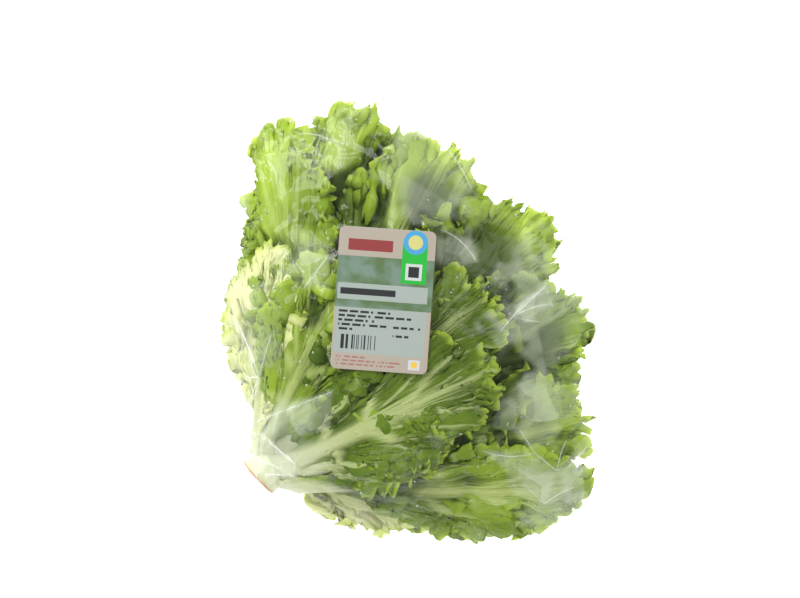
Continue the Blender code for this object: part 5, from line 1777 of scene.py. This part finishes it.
    def build(self, finish: bpy.types.Material) -> bpy.types.Object:
        """The film in its material."""
        turns = np.linspace(0, 2 * np.pi, self.AROUND, endpoint=False)
        way = ways(turns)
        reach = self.edge(turns)[:, None]
        reach = reach + (self.RIM_UNEVEN * wander(turns / (2 * np.pi) * 8, 3, 1.0, 3.0))[:, None]
        rings, last = [], self.RIM_SHARE
        for share in last * np.linspace(0, 1, self.TOP_RINGS + 1)[1:] ** 0.85:
            plan = MIDDLE + way * reach * share
            z = self.height(self.top, plan)
            loose = np.where(self.label.covers(plan), 0, 1) * ease(1.0, 0.9, share)
            z = z + (self.crease_at(plan, self.CREASE_WIDTH) + self.pleat_at(plan)) * loose
            rings.append(np.column_stack([plan, np.minimum(z, self.label_top)]))
        rim = MIDDLE + way * reach * last
        high, low = self.height(self.top, rim), self.height(self.bottom, rim)
        for k in range(1, self.WALL_ROWS):
            share = k / self.WALL_ROWS
            out = last + (FilmRoom.WALL_BULGE - last) * math.sin(math.pi * share) ** 0.6
            rings.append(np.column_stack([MIDDLE + way * reach * out, high + (low - high) * share]))
        for share in last * np.linspace(1, 0, self.LOW_RINGS + 1)[:-1] ** 0.7:
            plan = MIDDLE + way * reach * share
            rings.append(np.column_stack([plan, self.height(self.bottom, plan)]))
        poles = [np.append(MIDDLE, self.height(grid, MIDDLE)) for grid in (self.top, self.bottom)]
        points = np.concatenate(rings + [np.array(poles)])
        plan, z = points[:, :2], points[:, 2]
        faces = closed_faces(self.AROUND, len(rings), self.is_mouth)
        made = mesh_object("film", points + self.shift, faces)
        crease = self.crease_at(plan, self.CREASE_CORE) / self.CREASE_WIDTH
        add_field(made, "mist", self.mist_at(plan) * ease(*self.MIST_STARTS, z))
        # Painted highlight: the film is whitened along its creases.
        add_field(made, "crease", crease * (z > self.UPPER_SIDE))
        # Whiter where the film lies double, partly a painted reflection.
        add_field(made, "double_and_reflection", self.double_and_reflection_at(plan) * (z > self.UPPER_SIDE))
        made.data.materials.append(finish)
        return made

    def is_mouth(self, column: int, row: int) -> bool:
        """Whether the film is open between a column and the next, and a row and the next."""
        turn = (column + 0.5) * 2 * math.pi / self.AROUND
        turn = turn - 2 * math.pi if turn > math.pi else turn
        is_wall = self.TOP_RINGS + 2 <= row < self.TOP_RINGS + self.WALL_ROWS - 3
        return is_wall and self.MOUTH[0] < turn < self.MOUTH[1]

    def surface(self, plan: np.ndarray, above: float) -> np.ndarray:
        """Points a little above the upper film."""
        z = self.height(self.top, plan) + self.pleat_at(plan) + above
        return np.column_stack([plan, z])

    def folds(self, finish: bpy.types.Material) -> bpy.types.Object:
        """The doubled edge of film along each sharp fold, whitened partly as a painted highlight."""
        points, edges, thick = [], [], []
        least, more = self.FOLD_THICK
        for crease in self.CREASES:
            plan = crease.path(20)
            first = len(points)
            points += list(self.surface(plan, crease.height * MM * 0.8) + self.shift)
            edges += [(first + k, first + k + 1) for k in range(len(plan) - 1)]
            u = np.linspace(0, 1, len(plan))
            thick += list(least + more * crease.height * np.sin(np.pi * u) ** 0.6)
        made = bare_object("film_folds", np.array(points), edges, [])
        add_field(made, "thick", np.array(thick))
        tube_tree().grow(made, {"Sides": self.FOLD_SIDES, "Finish": finish})
        return made

    def drops(self, finish: bpy.types.Material) -> bpy.types.Object:
        """Water drops where the film is wet."""
        rng = np.random.default_rng(self.DROP_SEED)
        tries = self.DROP_TRIES * self.DROPS
        turn = rng.uniform(0, 2 * np.pi, tries)
        away = self.edge(turn) * 0.95 * np.sqrt(rng.uniform(0, 1, tries))
        plan = MIDDLE + ways(turn) * away[:, None]
        patchy = 0.4 + 0.6 * (ripple(plan[:, 0], plan[:, 1], 9, 25 * MM) > 0.3)
        chance = self.mist_at(plan, self.WET) * patchy + 0.02
        keep = (rng.uniform(0, 1, len(plan)) < chance * 0.3) & ~self.label.covers(plan)
        plan = plan[keep][: self.DROPS]
        points = self.surface(plan, 0.05 * MM)
        step = 2 * MM
        east = self.surface(plan + [step, 0], 0)[:, 2] - self.surface(plan - [step, 0], 0)[:, 2]
        north = self.surface(plan + [0, step], 0)[:, 2] - self.surface(plan - [0, step], 0)[:, 2]
        lean = unit(np.column_stack([-east / (2 * step), -north / (2 * step), np.ones(len(plan))]))
        made = bare_object("film_drops", points + self.shift, [], [])
        add_field(made, "size", rng.uniform(0.2, 0.85, len(plan)) ** 2 * MM + 0.12 * MM)
        layer = made.data.attributes.new("lean", "FLOAT_VECTOR", "POINT")
        layer.data.foreach_set("vector", lean.astype(np.float32).ravel())
        drop_tree().grow(made, {"Flatness": self.DROP_FLATNESS, "Finish": finish})
        return made


class CutStem:
    """The stem, ribbed lengthways, with its browned cut end outward."""

    SIDES = 72
    STATIONS = (-1.0, -0.94, -0.8, -0.5, 0.0, 0.1, 0.2, 0.35, 0.5, 0.65, 0.8, 0.92, 1.0)
    CUT_RINGS = (0.96, 0.75, 0.5, 0.25)
    CUT_SHARE = 0.93
    DISH = 0.7 * MM

    def build(self, shift: np.ndarray) -> bpy.types.Object:
        """Makes the stem in the place of its node.

        Args:
            shift: from the butt to the part's frame.
        Returns:
            The object.
        """
        turns = np.linspace(0, 2 * np.pi, self.SIDES, endpoint=False)
        ring = np.cos(turns)[:, None] * UP + np.sin(turns)[:, None] * HEAD_SIDE
        uneven = 1 + 0.03 * np.sin(3 * turns) + 0.02 * np.sin(5 * turns) + 0.015 * np.sin(14 * turns)
        rows, cut, out = [], [], []
        start = BUTT_HEIGHT * UP - STEM.behind * HEAD_WAY
        for share in self.CUT_RINGS[::-1]:
            dish = self.DISH * (1 - share**2) * HEAD_WAY
            rows.append(start + dish + STEM.cut_radius * self.CUT_SHARE * share * uneven[:, None] * ring)
            cut.append(1.0)
            out.append(share)
        for station in self.STATIONS:
            along = station * (STEM.behind if station < 0 else STEM.length)
            radius = STEM.radius(along) * (self.CUT_SHARE if station == -1.0 else 1.0)
            rows.append(BUTT_HEIGHT * UP + along * HEAD_WAY + radius * uneven[:, None] * ring)
            cut.append(float(ease(-0.3, -0.97, np.array(station))))
            out.append(1.0)
        ends = [start + self.DISH * HEAD_WAY, BUTT_HEIGHT * UP + STEM.length * HEAD_WAY]
        points = np.concatenate(rows + [ends])
        made = mesh_object("lettuce_stem", points + shift, closed_faces(self.SIDES, len(rows)))
        add_field(made, "cut", np.append(np.repeat(cut, self.SIDES), [1.0, 0.0]))
        add_field(made, "out", np.append(np.repeat(out, self.SIDES), [0.0, 1.0]))
        made.data.materials.append(StemFinish().material())
        return made


@dataclass(frozen=True)
class Lamp:
    """A square soft lamp that points at the head's butt."""

    place: tuple[float, float, float]
    size: float
    power: float


@dataclass
class Studio:
    """A pale floor, soft light and a camera straight above."""

    distance: float = 1.4
    focus_height: float = 50 * MM
    floor_size: float = 6.0
    sensor: float = 36.0
    sky: float = 0.6
    table_glow: float = 1.0
    lamps: tuple[Lamp, ...] = (
        Lamp((-0.8, 0.7, 1.1), 0.9, 22.0),
        Lamp((1.0, 0.5, 1.0), 0.8, 5.0),
        Lamp((0.2, -1.1, 0.8), 0.6, 3.5),
    )

    def camera(self, shift: np.ndarray) -> None:
        """Sets the camera over the picture's middle.

        Args:
            shift: from the butt to the part's frame.
        """
        data = bpy.data.cameras.new("camera")
        data.sensor_width = self.sensor
        data.lens = self.sensor * self.distance / (PICTURE_WIDTH * PLAN_SCALE)
        made = linked("camera", data)
        over = plan_point(*PICTURE_MIDDLE) + shift[:2]
        made.location = (*over, self.distance + self.focus_height)
        bpy.context.scene.camera = made

    def floor(self) -> None:
        """A plain white floor, lit a little from below like a photographer's table."""
        half = self.floor_size / 2
        corners = np.array([(-half, -half, 0), (half, -half, 0), (half, half, 0), (-half, half, 0)])
        made = mesh_object("floor", corners, np.array([range(len(corners))]))
        g = Graph("white_floor")
        sockets = {
            "Base Color": (0.93, 0.93, 0.93),
            "Roughness": 0.8,
            "Specular IOR Level": 0.1,
            "Emission Color": WHITE,
            "Emission Strength": self.table_glow,
        }
        white = g.end(g.surface(sockets))
        white.cycles.emission_sampling = "NONE"
        made.data.materials.append(white)

    def lights(self) -> None:
        """White surroundings and three soft lamps."""
        world = bpy.data.worlds.new("studio")
        bpy.context.scene.world = world
        world.use_nodes = True
        sky = world.node_tree.nodes["Background"]
        sky.inputs["Color"].default_value = (*WHITE, 1.0)
        sky.inputs["Strength"].default_value = self.sky
        for lamp in self.lamps:
            data = bpy.data.lights.new("lamp", "AREA")
            data.size, data.energy = lamp.size, lamp.power
            away = np.array(lamp.place)
            back = unit(away)
            east = unit(np.cross(UP, back))
            north = np.cross(back, east)
            rows = np.column_stack([east, north, back, away]).tolist()
            linked("lamp", data).matrix_world = Matrix([*rows, (0, 0, 0, 1)])

    def grade(self) -> None:
        """Plain colour handling."""
        bpy.context.scene.view_settings.view_transform = "Standard"


class Lettuce:
    """The head with its film and label, each piece in the place of its node."""

    def __init__(self, film: bpy.types.Object) -> None:
        """Finds the shift from the butt to the part's frame by the label's node.

        Args:
            film: the film's node.
        """
        self.film = film
        low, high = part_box("label")
        self.label = Label()
        middle = (np.array(low) + np.array(high))[:2] / 2
        self.shift = np.append(middle - self.label.centre, 0.0)

    def dress(self, made: bpy.types.Object, slot: str, *nodes: str) -> None:
        """Attaches a piece to the root body, hides the nodes it stands for and logs its faces.

        Args:
            made: the piece.
            slot: the record's slot for its finish; not used.
            nodes: the nodes it stands for.
        """
        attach(made, "root")
        if nodes:
            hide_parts(*nodes)
        log.info("%s: %d faces", made.name, len(made.data.polygons))

    def build(self) -> None:
        """Makes every piece."""
        finishes = {tone: finish.material() for tone, finish in LEAF_FINISHES.items()}
        slots = {UNDER: "leaf_under", HEART: "leaf_heart", OUTER: "leaf_outer"}
        room = FilmRoom(self.film, self.shift)
        pile = Pile(LEAVES, room)
        leaves = [LeafMesh(leaf, pile) for leaf in LEAVES]
        for leaf in leaves:
            # Heart leaves take the darker copy of the green, painted shade; the others their own tone.
            tone = Tone.HEART if leaf.leaf.place is HEART else leaf.leaf.tone
            made = leaf.object(finishes[tone])
            self.dress(made, slots[leaf.leaf.place], leaf.leaf.name)
        self.dress(CutStem().build(self.shift), "stem", "stem")
        self.dress(self.label.build(self.shift), "label", "label")
        sleeve = Sleeve(room, self.label)
        film = FilmFinish().material()
        self.dress(sleeve.build(film), "film", "film_sleeve")
        self.dress(sleeve.folds(FoldFinish().material()), "film")
        self.dress(sleeve.drops(DropFinish().material()), "film")


def main() -> None:
    """Builds the scene."""
    logging.basicConfig(level=logging.INFO, format="%(name)s: %(message)s")
    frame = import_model()
    lettuce = Lettuce(frame["nodes"]["film_sleeve"])
    studio = Studio()
    studio.camera(lettuce.shift)
    lettuce.build()
    studio.floor()
    studio.lights()
    studio.grade()


if __name__ == "__main__":
    main()
